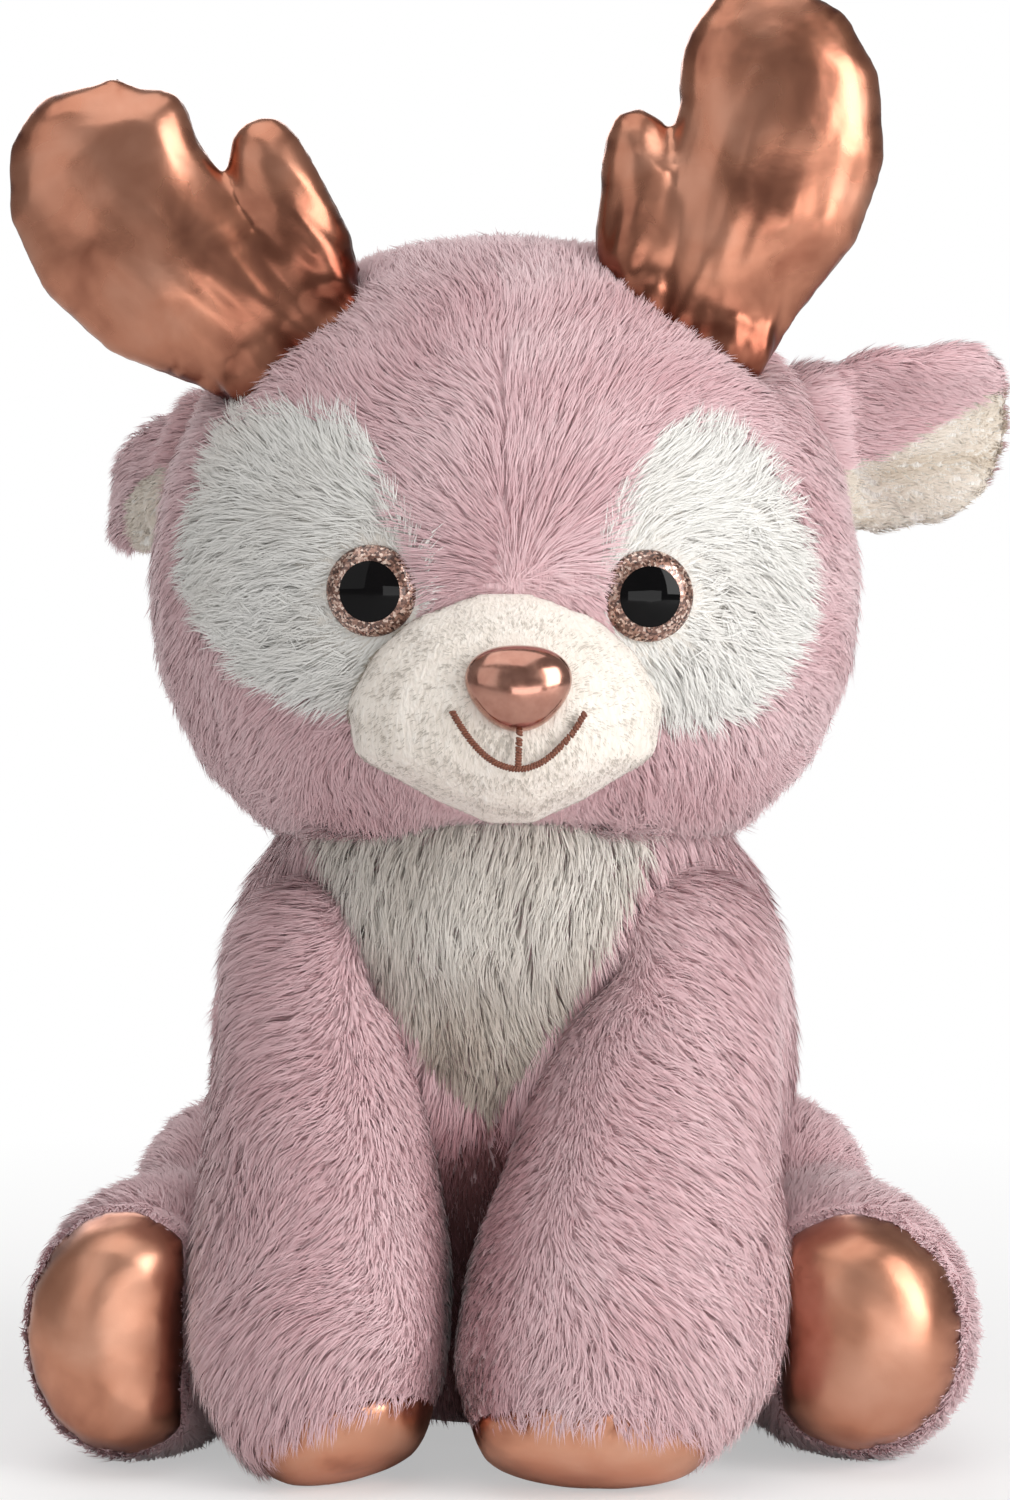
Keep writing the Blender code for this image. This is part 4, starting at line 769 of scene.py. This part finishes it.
def head_pile():
    """Pile that runs away from the bridge of the nose and down, white in a panel round each eye. It is
    shorter by the eyes and the muzzle."""
    roots, normals = scatter("head")
    side_on = part_way(np.abs(roots[:, 0]), HEAD_HALF_WIDTH)[:, None]
    fall = 0.25 + 0.55 * side_on + 0.5 * part_way(roots[:, 1:2], 0.05)
    flow = unit(roots - np.array(BRIDGE)) + toward(DOWN, roots) * fall
    wobble = np.random.default_rng(5).normal(0, 0.0007, (2, len(roots)))
    x, z = roots[:, 0] + wobble[0], roots[:, 2] + wobble[1]
    facing = normals[:, 1] < 0.1
    white = {side: inside(PATCH_SEAMS[side], x, z) & facing for side in SIDES}
    eye_gap = np.min([far_from(roots, EYES[side][0]) for side in SIDES], axis=0)
    muzzle_gap = far_from(roots * (1, 0, 1), MUZZLE_CENTRE) - MUZZLE_RADIUS
    open_skin = (eye_gap > EYE_OPENING) & ~((muzzle_gap < -0.004) & (roots[:, 1] < -0.05))
    near = np.clip((eye_gap - 0.007) / 0.013, 0.36, 1) * np.clip(muzzle_gap / 0.016 + 0.55, 0.45, 1)
    near = np.where(roots[:, 1] < 0, near, 1)
    pink = open_skin & ~white["left"] & ~white["right"]
    for i, (quarter, where) in enumerate(quarters(roots).items()):
        part = pink & where
        hairs("head_pile_" + quarter, roots[part], normals[part], flow[part], HEAD_HAIR * near[part],
              PINK, "head", 121 + i, rise=(32, 6))
    for side in SIDES:
        part = open_skin & white[side]
        out = unit(roots[part] - np.array(EYES[side][0]) - np.array((-SIGN[side] * 0.012, 0, -0.004)))
        hairs("eye_patch_pile_" + side, roots[part], normals[part], out + toward(DOWN, out) * 0.25,
              PATCH_HAIR * near[part], WHITE, "head", 23 + SIGN[side], rise=(38, 8), tuft=2.8, pull=0.18,
              wild=0.22)


def muzzle_pile():
    """Short dense pile that runs away from the nose, parted under the upright stitches."""
    roots, normals = scatter("muzzle")
    seam = (np.abs(roots[:, 0] - NOSE[0].x) < 0.0013) & (np.abs(roots[:, 2] - 0.196) < 0.006)
    part = (far_from(roots, NOSE[0]) > 0.0118) & ~seam
    roots, normals = roots[part], normals[part]
    out = unit(roots - np.array(NOSE[0]))
    hairs("muzzle_pile", roots, normals, out + toward(DOWN, out) * 0.2, MUZZLE_HAIR, CREAM, "head", 31,
          rise=(18, 4), tuft=1.6, pull=0.1)


def body_pile():
    """Pile that runs down, long and cream in the bib with painted shade low on it, and short with painted
    shade between the front legs.
    """
    roots, normals = scatter("torso")
    keep = ~((normals[:, 2] < -0.5) & (roots[:, 2] < 0.01))
    roots, normals = roots[keep], normals[keep]
    in_bib = inside(BIB_SEAM, roots[:, 0], roots[:, 2]) & (roots[:, 1] < -0.01)
    out = toward(DOWN, roots) + unit(roots * (1, 1, 0)) * 0.15
    # The gap between the front legs: shorter hair, and painted shade through a negative tint
    between = np.clip(1 - np.abs(roots[:, 0] - LEG_GAP_X) / 0.034, 0, 1)
    between = between * part_way(0.105 - roots[:, 2], 0.02) * (roots[:, 1] < 0)
    for i, (quarter, where) in enumerate(quarters(roots).items()):
        part = where & ~in_bib
        hairs("body_pile_" + quarter, roots[part], normals[part], out[part], BODY_HAIR - 5 * between[part],
              PINK, "torso", 141 + i, tint=-0.85 * between[part])
    # The lower bib: shorter hair, and painted shade through a negative tint
    low = part_way(0.148 - roots[in_bib, 2], 0.045)
    hairs("bib_pile", roots[in_bib], normals[in_bib], out[in_bib], BIB_HAIR - 5.0 * low, BIB, "torso", 42,
          rise=(38, 6), tuft=3.2, pull=0.18, tint=-0.56 * low)


def front_leg_pile(side):
    """Pile that runs outwards and down, short on the inner side, with painted shade where the legs meet."""
    roots, normals = scatter("front_leg_", side)
    cut, face = (np.array(v) for v in FRONT_SOLES[side])
    part = (roots - cut) @ face < 0.0
    roots, normals = roots[part], normals[part]
    shoulder, foot = FRONT_LEGS[side]
    sign = SIGN[side]
    low = part_way(0.07 - roots[:, 2], 0.07)[:, None]
    turned = ease(0.15 - normals[:, 0:1] * sign, 0, 0.9)
    flow = toward((sign, 0, 0), roots) * (1 - 1.25 * turned) * (0.85 - 0.45 * low)
    flow = flow + toward((foot - shoulder).normalized(), roots) * 0.35
    flow = flow + toward(DOWN, roots) * (0.35 + 0.5 * low)
    inward = np.maximum(0, -normals[:, 0] * sign)
    shadow = ease(inward, 0.35, 0.95) * ease(-np.abs(roots[:, 0] - LEG_GAP_X), -0.026, -0.010)
    shadow = shadow * ease(-roots[:, 2], -0.115, -0.085)
    hairs("front_leg_pile_" + side, roots, normals, flow, FRONT_LEG_HAIR * np.clip(1 - inward * 0.65, 0.4, 1),
          PINK, "front_leg_" + side, 51, tint=-0.5 * shadow)


def hind_leg_pile(side):
    """Pile that runs back up the leg, and at the rim of the foil forwards over it."""
    roots, normals = scatter("hind_leg_", side)
    cut, face = (np.array(v) for v in HIND_PADS[side])
    part = ((roots - cut) @ face < 0.0015) & (roots[:, 2] > 0.0015)
    roots, normals = roots[part], normals[part]
    hip, foot = HIND_LEGS[side]
    way = np.array((foot - hip).normalized())
    sign = SIGN[side]
    behind = -((roots - cut) @ face)
    rim = ease(-behind, -0.011, -0.002)[:, None]
    flow = toward(-way, roots) * 0.7 + toward((sign * 0.5, 0, -0.25), roots)
    flow = flow * (1 - rim) + toward(face, roots) * rim
    outer = np.clip(normals[:, 0] * sign - normals[:, 2] * 0.5, 0, 1)
    hairs("hind_leg_pile_" + side, roots, normals, flow, HIND_LEG_HAIR - (4.6 - 2.2 * outer) * rim[:, 0],
          PINK, "hind_leg_" + side, 52, wild=0.18)


# The fold across the lining of an ear, as it runs across and up
LINING_FOLD = (0.104, 0.118, 0.133), (0.2690, 0.2728, 0.2735)
LINING_HOLLOW = (0.1015, 0, 0.2555)


def ear_pile(side):
    """Pile that runs outwards, and the cream lining with the shadow of its fold and hollow."""
    _, out, face = (np.array(v) for v in EARS[side])
    roots, normals = scatter("ear_", side)
    wobble = np.random.default_rng(6).normal(0, 0.0006, (2, len(roots)))
    x, z = roots[:, 0] + wobble[0], roots[:, 2] + wobble[1]
    cream = (normals @ face > -0.35) & inside(EAR_CREAM[side], x, z)
    flow = toward(out, roots) + toward(DOWN, roots) * 0.2
    length = EAR_HAIR - 3.0 * ease(normals[~cream] @ out, 0.4, 0.9)
    hairs("ear_pile_" + side, roots[~cream], normals[~cream], flow[~cream], length, PINK, "ear_" + side, 61)
    lined = roots[cream]
    fold = lined[:, 2] - np.interp(lined[:, 0], *LINING_FOLD)
    shadow = np.exp(-np.where(fold > 0, fold / 0.0012, -fold / 0.0045) ** 2) * ease(lined[:, 0], 0.102, 0.110)
    shadow += 0.6 * np.exp(-(far_from(lined * (1, 0, 1), LINING_HOLLOW) / 0.0035) ** 2)
    hairs("ear_lining_pile_" + side, lined, normals[cream], flow[cream], LINING_HAIR, LINING, "ear_" + side,
          62, rise=(28, 8), tuft=1.8, pull=0.1, wild=0.25, tint=-0.34 * shadow)


def tail_pile():
    roots, normals = scatter("tail")
    hairs("tail_pile", roots, normals, toward(TAIL_WAY, roots), TAIL_HAIR, PINK, "tail", 71)


head_pile()
muzzle_pile()
body_pile()
for side in SIDES:
    front_leg_pile(side)
    hind_leg_pile(side)
for side in SIDES:
    ear_pile(side)
tail_pile()


# Skins take their places

def whiten_panels():
    """The ground is white under the white and cream pile."""
    places = corners_of(skins["head"])
    panels = sum(inside(PATCH_SEAMS[side], places[:, 0], places[:, 2]) for side in SIDES)
    mark(skins["head"], "panel", panels * (places[:, 1] < 0))
    for side in SIDES:
        skin = skins["ear_" + side]
        places = corners_of(skin)
        facing = normals_of(skin) @ np.array(EARS[side][2]) > -0.2
        mark(skin, "panel", facing & inside(EAR_CREAM[side], places[:, 0], places[:, 2]))


def flatten_ends(side):
    """The legs' own skins end flat behind their foil."""
    for name, (cut, face) in (("hind_leg_", HIND_PADS[side]), ("front_leg_", FRONT_SOLES[side])):
        places, face = corners_of(skins[name + side]), np.array(face)
        beyond = np.maximum((places - np.array(cut)) @ face - 0.0002, 0)
        move_corners(skins[name + side], places - beyond[:, None] * face)


def stand_for(name, material, body, nodes):
    dress(skins[name], material, body, nodes)


whiten_panels()
stand_for("torso", pink_cloth, "torso", BODY_SOLIDS)
stand_for("head", pink_cloth, "head", HEAD_SOLIDS)
stand_for("muzzle", cream_cloth, "head", MUZZLE_SOLIDS)
stand_for("tail", pink_cloth, "tail", ["tail"])
for side in SIDES:
    flatten_ends(side)
    # A leg's second solid is its foil end, which has a piece of its own
    for part, solids in (
        ("front_leg_", FRONT_LEG_SOLIDS[::2]),
        ("hind_leg_", HIND_LEG_SOLIDS[::2]),
        ("ear_", EAR_SOLIDS),
    ):
        stand_for(part + side, pink_cloth, part + side, of_side(solids, side))


# Foil

# The groove along a seam and the darker line of its stitches, in metres
GROOVE_DEPTH, GROOVE_WIDTH, STITCH_LINE = 0.0009, 0.0011, 0.0009
# Antler tips: how far the inner side is drawn in, and where that starts and ends across the lobe
TIP_DRAW = {"left": (0.0034, 0.004, 0.016), "right": (0.0058, 0.0, 0.012)}
TIP_HEIGHT, TIP_SPREAD = 0.072, 0.012
# Their creases and the painted shade at their base: how far up these reach, and how strong they are
CREASE_REACH, CREASE_HEIGHT = 0.026, 0.0015
BASE_SHADE_REACH, BASE_SHADE = 0.020, 0.80
# Foil ends: how far below the seam's plane they start, where the rim's fold ends, and their thickness
CAP_LAP, CAP_EDGE, CAP_CLOTH = 0.0005, 0.0040, 0.0012


def puckers(thing, seam, reach, height, spacing, seed):
    """Gathers along a seam: ridges square to it that fade within reach, with painted shade in their folds."""
    places, normals = corners_of(thing), normals_of(thing)
    finder = finder_of(seam)
    lift, fold = np.zeros(len(places)), np.zeros(len(places))
    offset = Vector((seed, 0, 0))
    for i, place in enumerate(places):
        nearest, _, distance = finder.find(place)
        if distance > reach * 2.5:
            continue
        ridge = noise.noise(nearest * (1 / spacing) + offset)
        ridge += 0.5 * noise.noise(nearest * (2.3 / spacing) + offset)
        fade = math.exp(-((distance / reach) ** 2))
        lift[i] = ridge * height * fade
        lift[i] -= GROOVE_DEPTH * math.exp(-((distance / GROOVE_WIDTH) ** 2))
        fold[i] = max(0.0, -ridge) * fade * 1.4 + math.exp(-((distance / STITCH_LINE) ** 2)) * 0.8
    move_corners(thing, places + normals * lift[:, None])
    mark(thing, "fold", np.clip(fold, 0, 1))


def paint_shade(thing, more):
    """Painted shade, as in a fold, for some of a foil piece."""
    values = thing.data.attributes["fold"].data
    fold = np.empty(len(values), np.float32)
    values.foreach_get("value", fold)
    values.foreach_set("value", np.clip(fold + more, 0, 1).astype(np.float32))


def creases(thing, centre, along, across):
    """Long soft wrinkles that rise from the base of a padded piece."""
    places, normals = corners_of(thing), normals_of(thing)
    lift = np.zeros(len(places))
    for i, place in enumerate(places):
        offset = Vector(place) - centre
        up, aside = offset.dot(along), offset.dot(across)
        wave = noise.noise(Vector((aside * 150, place[1] * 90, up * 26)))
        wave += 0.5 * noise.noise(Vector((aside * 320, place[1] * 200 + 7, up * 60)))
        lift[i] = wave * CREASE_HEIGHT * math.exp(-max(0.0, up) / CREASE_REACH)
        lift[i] += 0.0005 * noise.noise(Vector(place) * 45)
    move_corners(thing, places + normals * lift[:, None])


def round_tip(antler, side):
    """The tip falls off to the inner side."""
    centre, along, across = (np.array(v) for v in ANTLERS[side])
    places = corners_of(antler)
    places = places + normals_of(antler) * 0.0005
    rise, inner = (places - centre) @ along, (places - centre) @ -across
    if side == "right":
        rise_by = -0.0068 * ease(inner, -0.006, 0.014) * ease(rise, 0.066, 0.090)
    else:
        rise_by = -0.0050 * np.exp(-((rise - 0.048) ** 2 + (inner - 0.0206) ** 2) / 0.007 ** 2)
    draw, start, end = TIP_DRAW[side]
    bell = np.exp(-((rise - TIP_HEIGHT) / TIP_SPREAD) ** 2)
    places -= (draw * ease(inner, start, end) * bell)[:, None] * across
    places += rise_by[:, None] * along
    move_corners(antler, places)


def antler_foil(side):
    """One padded antler, creased at its base and gathered along its seam."""
    nodes = of_side(ANTLER_SOLIDS, side)
    antler = stuffed("antler_foil_" + side, nodes, 0.0017, 3)
    centre, along, across = ANTLERS[side]
    outline = corners_of(antler)
    smooth(antler, 9)
    places = corners_of(antler)
    places[:, [0, 2]] += (outline - places)[:, [0, 2]] * 0.9
    move_corners(antler, places)
    round_tip(antler, side)
    smooth(antler, 6)
    places = corners_of(antler)
    places += normals_of(antler) * 0.0003
    move_corners(antler, places)
    creases(antler, centre, along, across)
    seam = places[np.abs(places[:, 1] - centre.y) < 0.0009]
    seam = [Vector(p) for p in seam if (Vector(p) - centre).dot(along) > 0.004]
    puckers(antler, seam, 0.0060, 0.0004, 0.0046, 3.0)
    rise = np.array([(Vector(p) - centre).dot(along) for p in corners_of(antler)])
    # Painted shade at the antler's base
    paint_shade(antler, BASE_SHADE * np.exp(-np.maximum(rise, 0) / BASE_SHADE_REACH))
    apply_modifier(antler, "SUBSURF", levels=1, render_levels=1)
    dress(antler, foil, "antler_" + side, nodes)


def edit_all(thing):
    """Into edit mode with all of this thing selected."""
    take(thing)
    bpy.ops.object.mode_set(mode="EDIT")
    bpy.ops.mesh.select_all(action="SELECT")


def foil_cap(part, leg, solids, seam, side, puff, width, material):
    """The foil end of a foot: the form beyond its seam, drawn in at the rim and filled like a pillow
    of this half width."""
    cut, face = seam[side]
    cap = stuffed(part + "_foil_" + side, of_side(solids, side), 0.0015, 14, 0.0014)
    if material is sole_foil_painted_reflection:
        spread_foot(cap, side)
    edit_all(cap)
    bpy.ops.mesh.bisect(plane_co=cut - face * CAP_LAP, plane_no=face, clear_inner=True)
    bpy.ops.object.mode_set(mode="OBJECT")
    places = corners_of(cap)
    rim = [Vector(p) for p in places if abs((Vector(p) - cut).dot(face) + CAP_LAP) < 0.0001]
    finder = finder_of(rim)
    face, flat = np.array(face), np.array(cut)
    height = (places - flat) @ face
    inward = np.array([finder.find(p)[2] for p in places - height[:, None] * face])
    pillow = (height.max() + puff) * np.sqrt(1 - (1 - part_way(inward, width)) ** 2)
    height += (pillow - height) * ease(inward, 0.0, CAP_EDGE)
    edges = edges_of(cap)
    first, second = edges[:, 0], edges[:, 1]
    degree = np.maximum(np.bincount(edges.ravel(), minlength=len(places)), 1)
    for _ in range(16):
        total = np.bincount(first, height[second], len(places))
        total = total + np.bincount(second, height[first], len(places))
        height = np.where(inward > 0.0008, total / degree, height)
    places += (height - (places - flat) @ face)[:, None] * face
    move_corners(cap, places)
    puckers(cap, rim, 0.0050, 0.0004, 0.0036, 8.0)
    # Painted shade near the rim, where the foil is drawn in
    paint_shade(cap, 0.40 * np.exp(-inward / 0.0050))
    places, normals = corners_of(cap), normals_of(cap)
    wave = np.array([noise.noise(Vector(p) * 70) + 0.5 * noise.noise(Vector(p) * 150) for p in places])
    places = places + normals * (wave * 0.0002)[:, None]
    places[:, 2] = np.maximum(places[:, 2], 0.0004)
    move_corners(cap, places)
    apply_modifier(cap, "SOLIDIFY", thickness=CAP_CLOTH, offset=-1.0)
    dress(cap, material, leg + side, [part + "_" + side])


for side in SIDES:
    antler_foil(side)
for side in SIDES:
    foil_cap("hind_pad", "hind_leg_", HIND_LEG_SOLIDS, HIND_PADS, side, 0.0015, 0.024, pad_foil)
    foil_cap("front_sole", "front_leg_", FRONT_LEG_SOLIDS, FRONT_SOLES, side, 0.0010, 0.022, sole_foil_painted_reflection)


# Eyes, nose and mouth

# Eyes: radii, the height of the back, and the ring's widest radius with its height, in millimetres
PUPIL, RING_INSIDE, RING_OUTSIDE, EYE_BACK = 8.1, 8.2, 12.3, -1.0
RING_WIDEST = (12.4, 1.6)
# Nose: half sizes across, up and out, and how far its middle stands out, in millimetres
NOSE_HALVES, NOSE_OUT = (13.9, 11.4, 8.6), 2.2
# Mouth, in metres: its middle, its top and half width, how deep the smile hangs and how high it ends
MOUTH_MIDDLE, MOUTH_TOP, MOUTH_HALF = 0.0034, 0.2045, 0.0168
SMILE_DROP, SMILE_RISE, SMILE_CURVE, UPRIGHT = 0.0130, 0.0140, 2.1, 0.0110
STITCHES_ACROSS, STITCHES_UP, STITCH_LIFT = 62, 16, 0.0025
STITCH_HALVES = (0.55 * MM, 1.05 * MM, 0.55 * MM)


def turned_dome(name, place, profile):
    """A shape turned about the way a feature looks, from (radius, height) pairs in millimetres."""
    centre, look, _ = place
    bpy.ops.mesh.primitive_circle_add(vertices=64, radius=1.0, fill_type="NOTHING")
    thing = bpy.context.active_object
    thing.name = name
    edit_all(thing)
    (radius, height), rest = profile[0], profile[1:]
    bpy.ops.transform.resize(value=(radius * MM, radius * MM, 1))
    bpy.ops.transform.translate(value=(0, 0, height * MM))
    for next_radius, next_height in rest:
        share = next_radius / radius
        bpy.ops.mesh.extrude_region_move()
        bpy.ops.transform.translate(value=(0, 0, (next_height - height) * MM))
        bpy.ops.transform.resize(value=(share, share, 1), center_override=(0, 0, next_height * MM))
        radius, height = next_radius, next_height
    bpy.ops.object.mode_set(mode="OBJECT")
    turn = look.to_track_quat("Z", "Y").to_matrix().to_4x4()
    turn.translation = centre
    thing.data.transform(turn)
    return thing


def close_up(thing, fill=True):
    """Weld the turned shape, close its ends where they are open, and smooth its shading."""
    edit_all(thing)
    bpy.ops.mesh.remove_doubles(threshold=0.00001)
    if fill:
        bpy.ops.mesh.select_all(action="DESELECT")
        bpy.ops.mesh.select_non_manifold()
        bpy.ops.mesh.edge_face_add()
        bpy.ops.mesh.select_all(action="SELECT")
    bpy.ops.mesh.normals_make_consistent(inside=False)
    bpy.ops.object.mode_set(mode="OBJECT")
    thing.data.shade_smooth()
    take(thing)
    bpy.ops.object.shade_smooth_by_angle(angle=math.radians(40))


def lens(radius):
    """How high the eye's one smooth dome stands at this radius, in millimetres."""
    return 1.4 + 5.6 * math.sqrt(max(0.0, 1 - (radius / 12.9) ** 2))


def eye(side, pupil_black, glitter):
    """The black middle and the glitter ring, both on the eye's one dome."""
    profile = [(PUPIL, EYE_BACK)]
    for step in range(11):
        radius = PUPIL * math.cos(math.pi / 2 * step / 11)
        profile.append((max(radius, 0.05), lens(radius)))
    pupil = turned_dome("eye_dome_" + side, EYES[side], profile)
    close_up(pupil)
    dress(pupil, pupil_black, "head", ["eye_" + side])
    profile = [(RING_INSIDE, EYE_BACK), (RING_OUTSIDE, EYE_BACK), RING_WIDEST]
    profile += [(r, lens(r)) for r in (RING_OUTSIDE, 11.9, 11.2, 10.4, 9.6, 8.8, RING_INSIDE)]
    profile += [(RING_INSIDE, EYE_BACK)]
    ring = turned_dome("eye_iris_" + side, EYES[side], profile)
    close_up(ring, fill=False)
    dress(ring, glitter, "head", ["eye_glitter_" + side])


def nose_shape():
    """A polished, rounded triangle, widest above."""
    bpy.ops.mesh.primitive_uv_sphere_add(segments=64, ring_count=40, radius=1.0)
    thing = bpy.context.active_object
    thing.name = "nose_button"
    places = corners_of(thing)
    turn = np.arctan2(places[:, 1], places[:, 0])
    reach = 1 + 0.06 * np.sin(3 * turn) * np.hypot(places[:, 0], places[:, 1])
    flat = np.sign(places[:, 2]) * np.abs(places[:, 2]) ** 0.85
    wide, high, deep = NOSE_HALVES
    shaped = [places[:, 0] * reach * wide, places[:, 1] * reach * high, flat * deep + NOSE_OUT]
    centre, look, aside = NOSE
    axes = np.array([aside, look.cross(aside), look])
    move_corners(thing, np.stack(shaped, 1) * MM @ axes + np.array(centre))
    thing.data.shade_smooth()
    return thing


def mouth_lines():
    """The smile and the upright under the nose, as (place, normal) on the muzzle at each stitch."""
    skin = tree_of(skins["muzzle"])

    def on_muzzle(x, z):
        hit, normal, _, _ = skin.ray_cast(Vector((x, -0.3, z)), Vector((0, 1, 0)))
        return hit + normal * STITCH_LIFT, normal

    shares = np.linspace(-1, 1, 401)
    across = MOUTH_MIDDLE + shares * MOUTH_HALF
    up = MOUTH_TOP - SMILE_DROP + SMILE_RISE * np.abs(shares) ** SMILE_CURVE
    run = np.concatenate([[0], np.cumsum(np.hypot(np.diff(across), np.diff(up)))])
    even = np.linspace(0, run[-1], STITCHES_ACROSS)
    smile = [on_muzzle(x, z) for x, z in zip(np.interp(even, run, across), np.interp(even, run, up))]
    start, last = MOUTH_TOP - 0.002, STITCHES_UP - 1
    return smile, [on_muzzle(MOUTH_MIDDLE, start - UPRIGHT * i / last) for i in range(STITCHES_UP)]


def stitched_mouth():
    """Satin stitches side by side along the smile and down from the nose."""
    stitches = []
    for path in mouth_lines():
        for (place, normal), (following, _) in zip(path, path[1:]):
            way = (following - place).normalized()
            slant = (normal.cross(way).normalized() + way * 0.35).normalized()
            bpy.ops.mesh.primitive_ico_sphere_add(subdivisions=2, radius=1.0)
            stitch = bpy.context.active_object
            shape = corners_of(stitch) * STITCH_HALVES
            move_corners(stitch, shape @ np.array([way, slant, normal]) + np.array(place))
            stitch.data.shade_smooth()
            stitches.append(stitch)
    mouth = take(*stitches)
    bpy.ops.object.join()
    mouth.name = "mouth_stitches"
    return mouth


nose_metal, pupil_black, glitter, thread = nose_look(), pupil_look(), glitter_look(), thread_look()
lock_plastic = plastic_look()
for side in SIDES:
    eye(side, pupil_black, glitter)
for washer in ("eye_washer_left", "eye_washer_right", "nose_washer"):
    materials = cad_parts[washer].data.materials
    materials.clear()
    materials.append(lock_plastic)
dress(nose_shape(), nose_metal, "head", ["nose"])
dress(stitched_mouth(), thread, "head", ["mouth_stitching"])


# The neck's filling, out of sight

filling = stuffed("neck_filling", ["neck_stuffing"], 0.0025, 4)
dress(filling, fibre_look(), "neck", ["neck_stuffing"])


# Floor, light and camera

# Each light: its place, what it looks at, its size, its power and its warmth
LAMPS = {
    "window_light": ((1.25, -0.95, 0.70), (0, 0, 0.2), (0.9, 1.1), 19.5, 0.98),
    "room_light": ((-1.1, -1.2, 0.75), (0, 0, 0.2), (1.2, 1.2), 3.4, 1.0),
    "low_light": ((0.35, -1.5, 0.12), (0.03, 0, 0.06), (1.0, 0.3), 2.6, 1.0),
    "ceiling_light": ((-0.15, -0.35, 1.5), (0, 0, 0.25), (1.4, 1.4), 7.5, 1.0),
    "back_light": ((-0.3, 1.3, 0.9), (0, 0, 0.25), (1.2, 0.8), 7.0, 1.0),
}
# The camera's sensor in millimetres, the photo's height and focal length in pixels, and the tilt down
SENSOR, PHOTO_HEIGHT, FOCAL_LENGTH = 24.0, 1500, 4856
CAMERA_PLACE, CAMERA_DOWN = (0.0, -1.376, 0.265), 3.12


def studio_floor():
    """A floor that takes the toy's shadow and turns to plain white away from it."""
    bpy.ops.mesh.primitive_plane_add(size=12.0, location=(0, 0, 0))
    floor = bpy.context.active_object
    floor.name = "studio_floor"
    look = Look("studio_white", 0.9, 0.0, (243, 243, 243))
    light = look.node("ShaderNodeEmission", Color=(1, 1, 1, 1), Strength=1.0)
    seen = look.node("ShaderNodeLightPath").outputs["Is Camera Ray"]
    length = look.node("ShaderNodeVectorMath", operation="LENGTH")
    look.link(look.object_place(), length.inputs[0])
    far = look.spread(length.outputs["Value"], 0.16, 0.62, (0.45, 1.0))
    mix = look.node("ShaderNodeMixShader")
    look.link(look.combine(seen, far, "MULTIPLY"), mix.inputs[0])
    look.link(look.shader.outputs[0], mix.inputs[1])
    look.link(light.outputs[0], mix.inputs[2])
    look.link(mix.outputs[0], look.tree.nodes["Material Output"].inputs["Surface"])
    floor.data.materials.append(look.material)


def studio_world():
    """A dim, slightly warm light from all sides, which the camera sees as white."""
    world = bpy.data.worlds.new("studio")
    bpy.context.scene.world = world
    world.use_nodes = True
    nodes, links = world.node_tree.nodes, world.node_tree.links
    nodes.clear()
    mix = nodes.new("ShaderNodeMixShader")
    links.new(nodes.new("ShaderNodeLightPath").outputs["Is Camera Ray"], mix.inputs[0])
    for socket, colour, strength in ((1, (1.0, 0.985, 0.97, 1), 0.32), (2, (1, 1, 1, 1), 1.0)):
        ground = nodes.new("ShaderNodeBackground")
        ground.inputs["Color"].default_value = colour
        ground.inputs["Strength"].default_value = strength
        links.new(ground.outputs[0], mix.inputs[socket])
    links.new(mix.outputs[0], nodes.new("ShaderNodeOutputWorld").inputs[0])


def lamp(name, place, aim, size, power, warmth):
    data = bpy.data.lights.new(name, "AREA")
    data.shape = "RECTANGLE"
    data.size, data.size_y = size
    data.energy = power
    data.color = (1.0, 0.5 + 0.5 * warmth, warmth)
    thing = add(name, data)
    thing.location = place
    thing.rotation_euler = (Vector(aim) - Vector(place)).to_track_quat("-Z", "Y").to_euler()


def camera():
    data = bpy.data.cameras.new("camera")
    data.sensor_fit = "VERTICAL"
    data.sensor_height = SENSOR
    data.lens = SENSOR * FOCAL_LENGTH / PHOTO_HEIGHT
    data.clip_start, data.clip_end = 0.05, 20.0
    seen = add("camera", data)
    seen.location = CAMERA_PLACE
    seen.rotation_euler = (math.radians(90 - CAMERA_DOWN), 0.0, 0.0)
    bpy.context.scene.camera = seen


studio_floor()
studio_world()
for name, settings in LAMPS.items():
    lamp(name, *settings)
camera()
bpy.context.scene.view_settings.view_transform = "Standard"
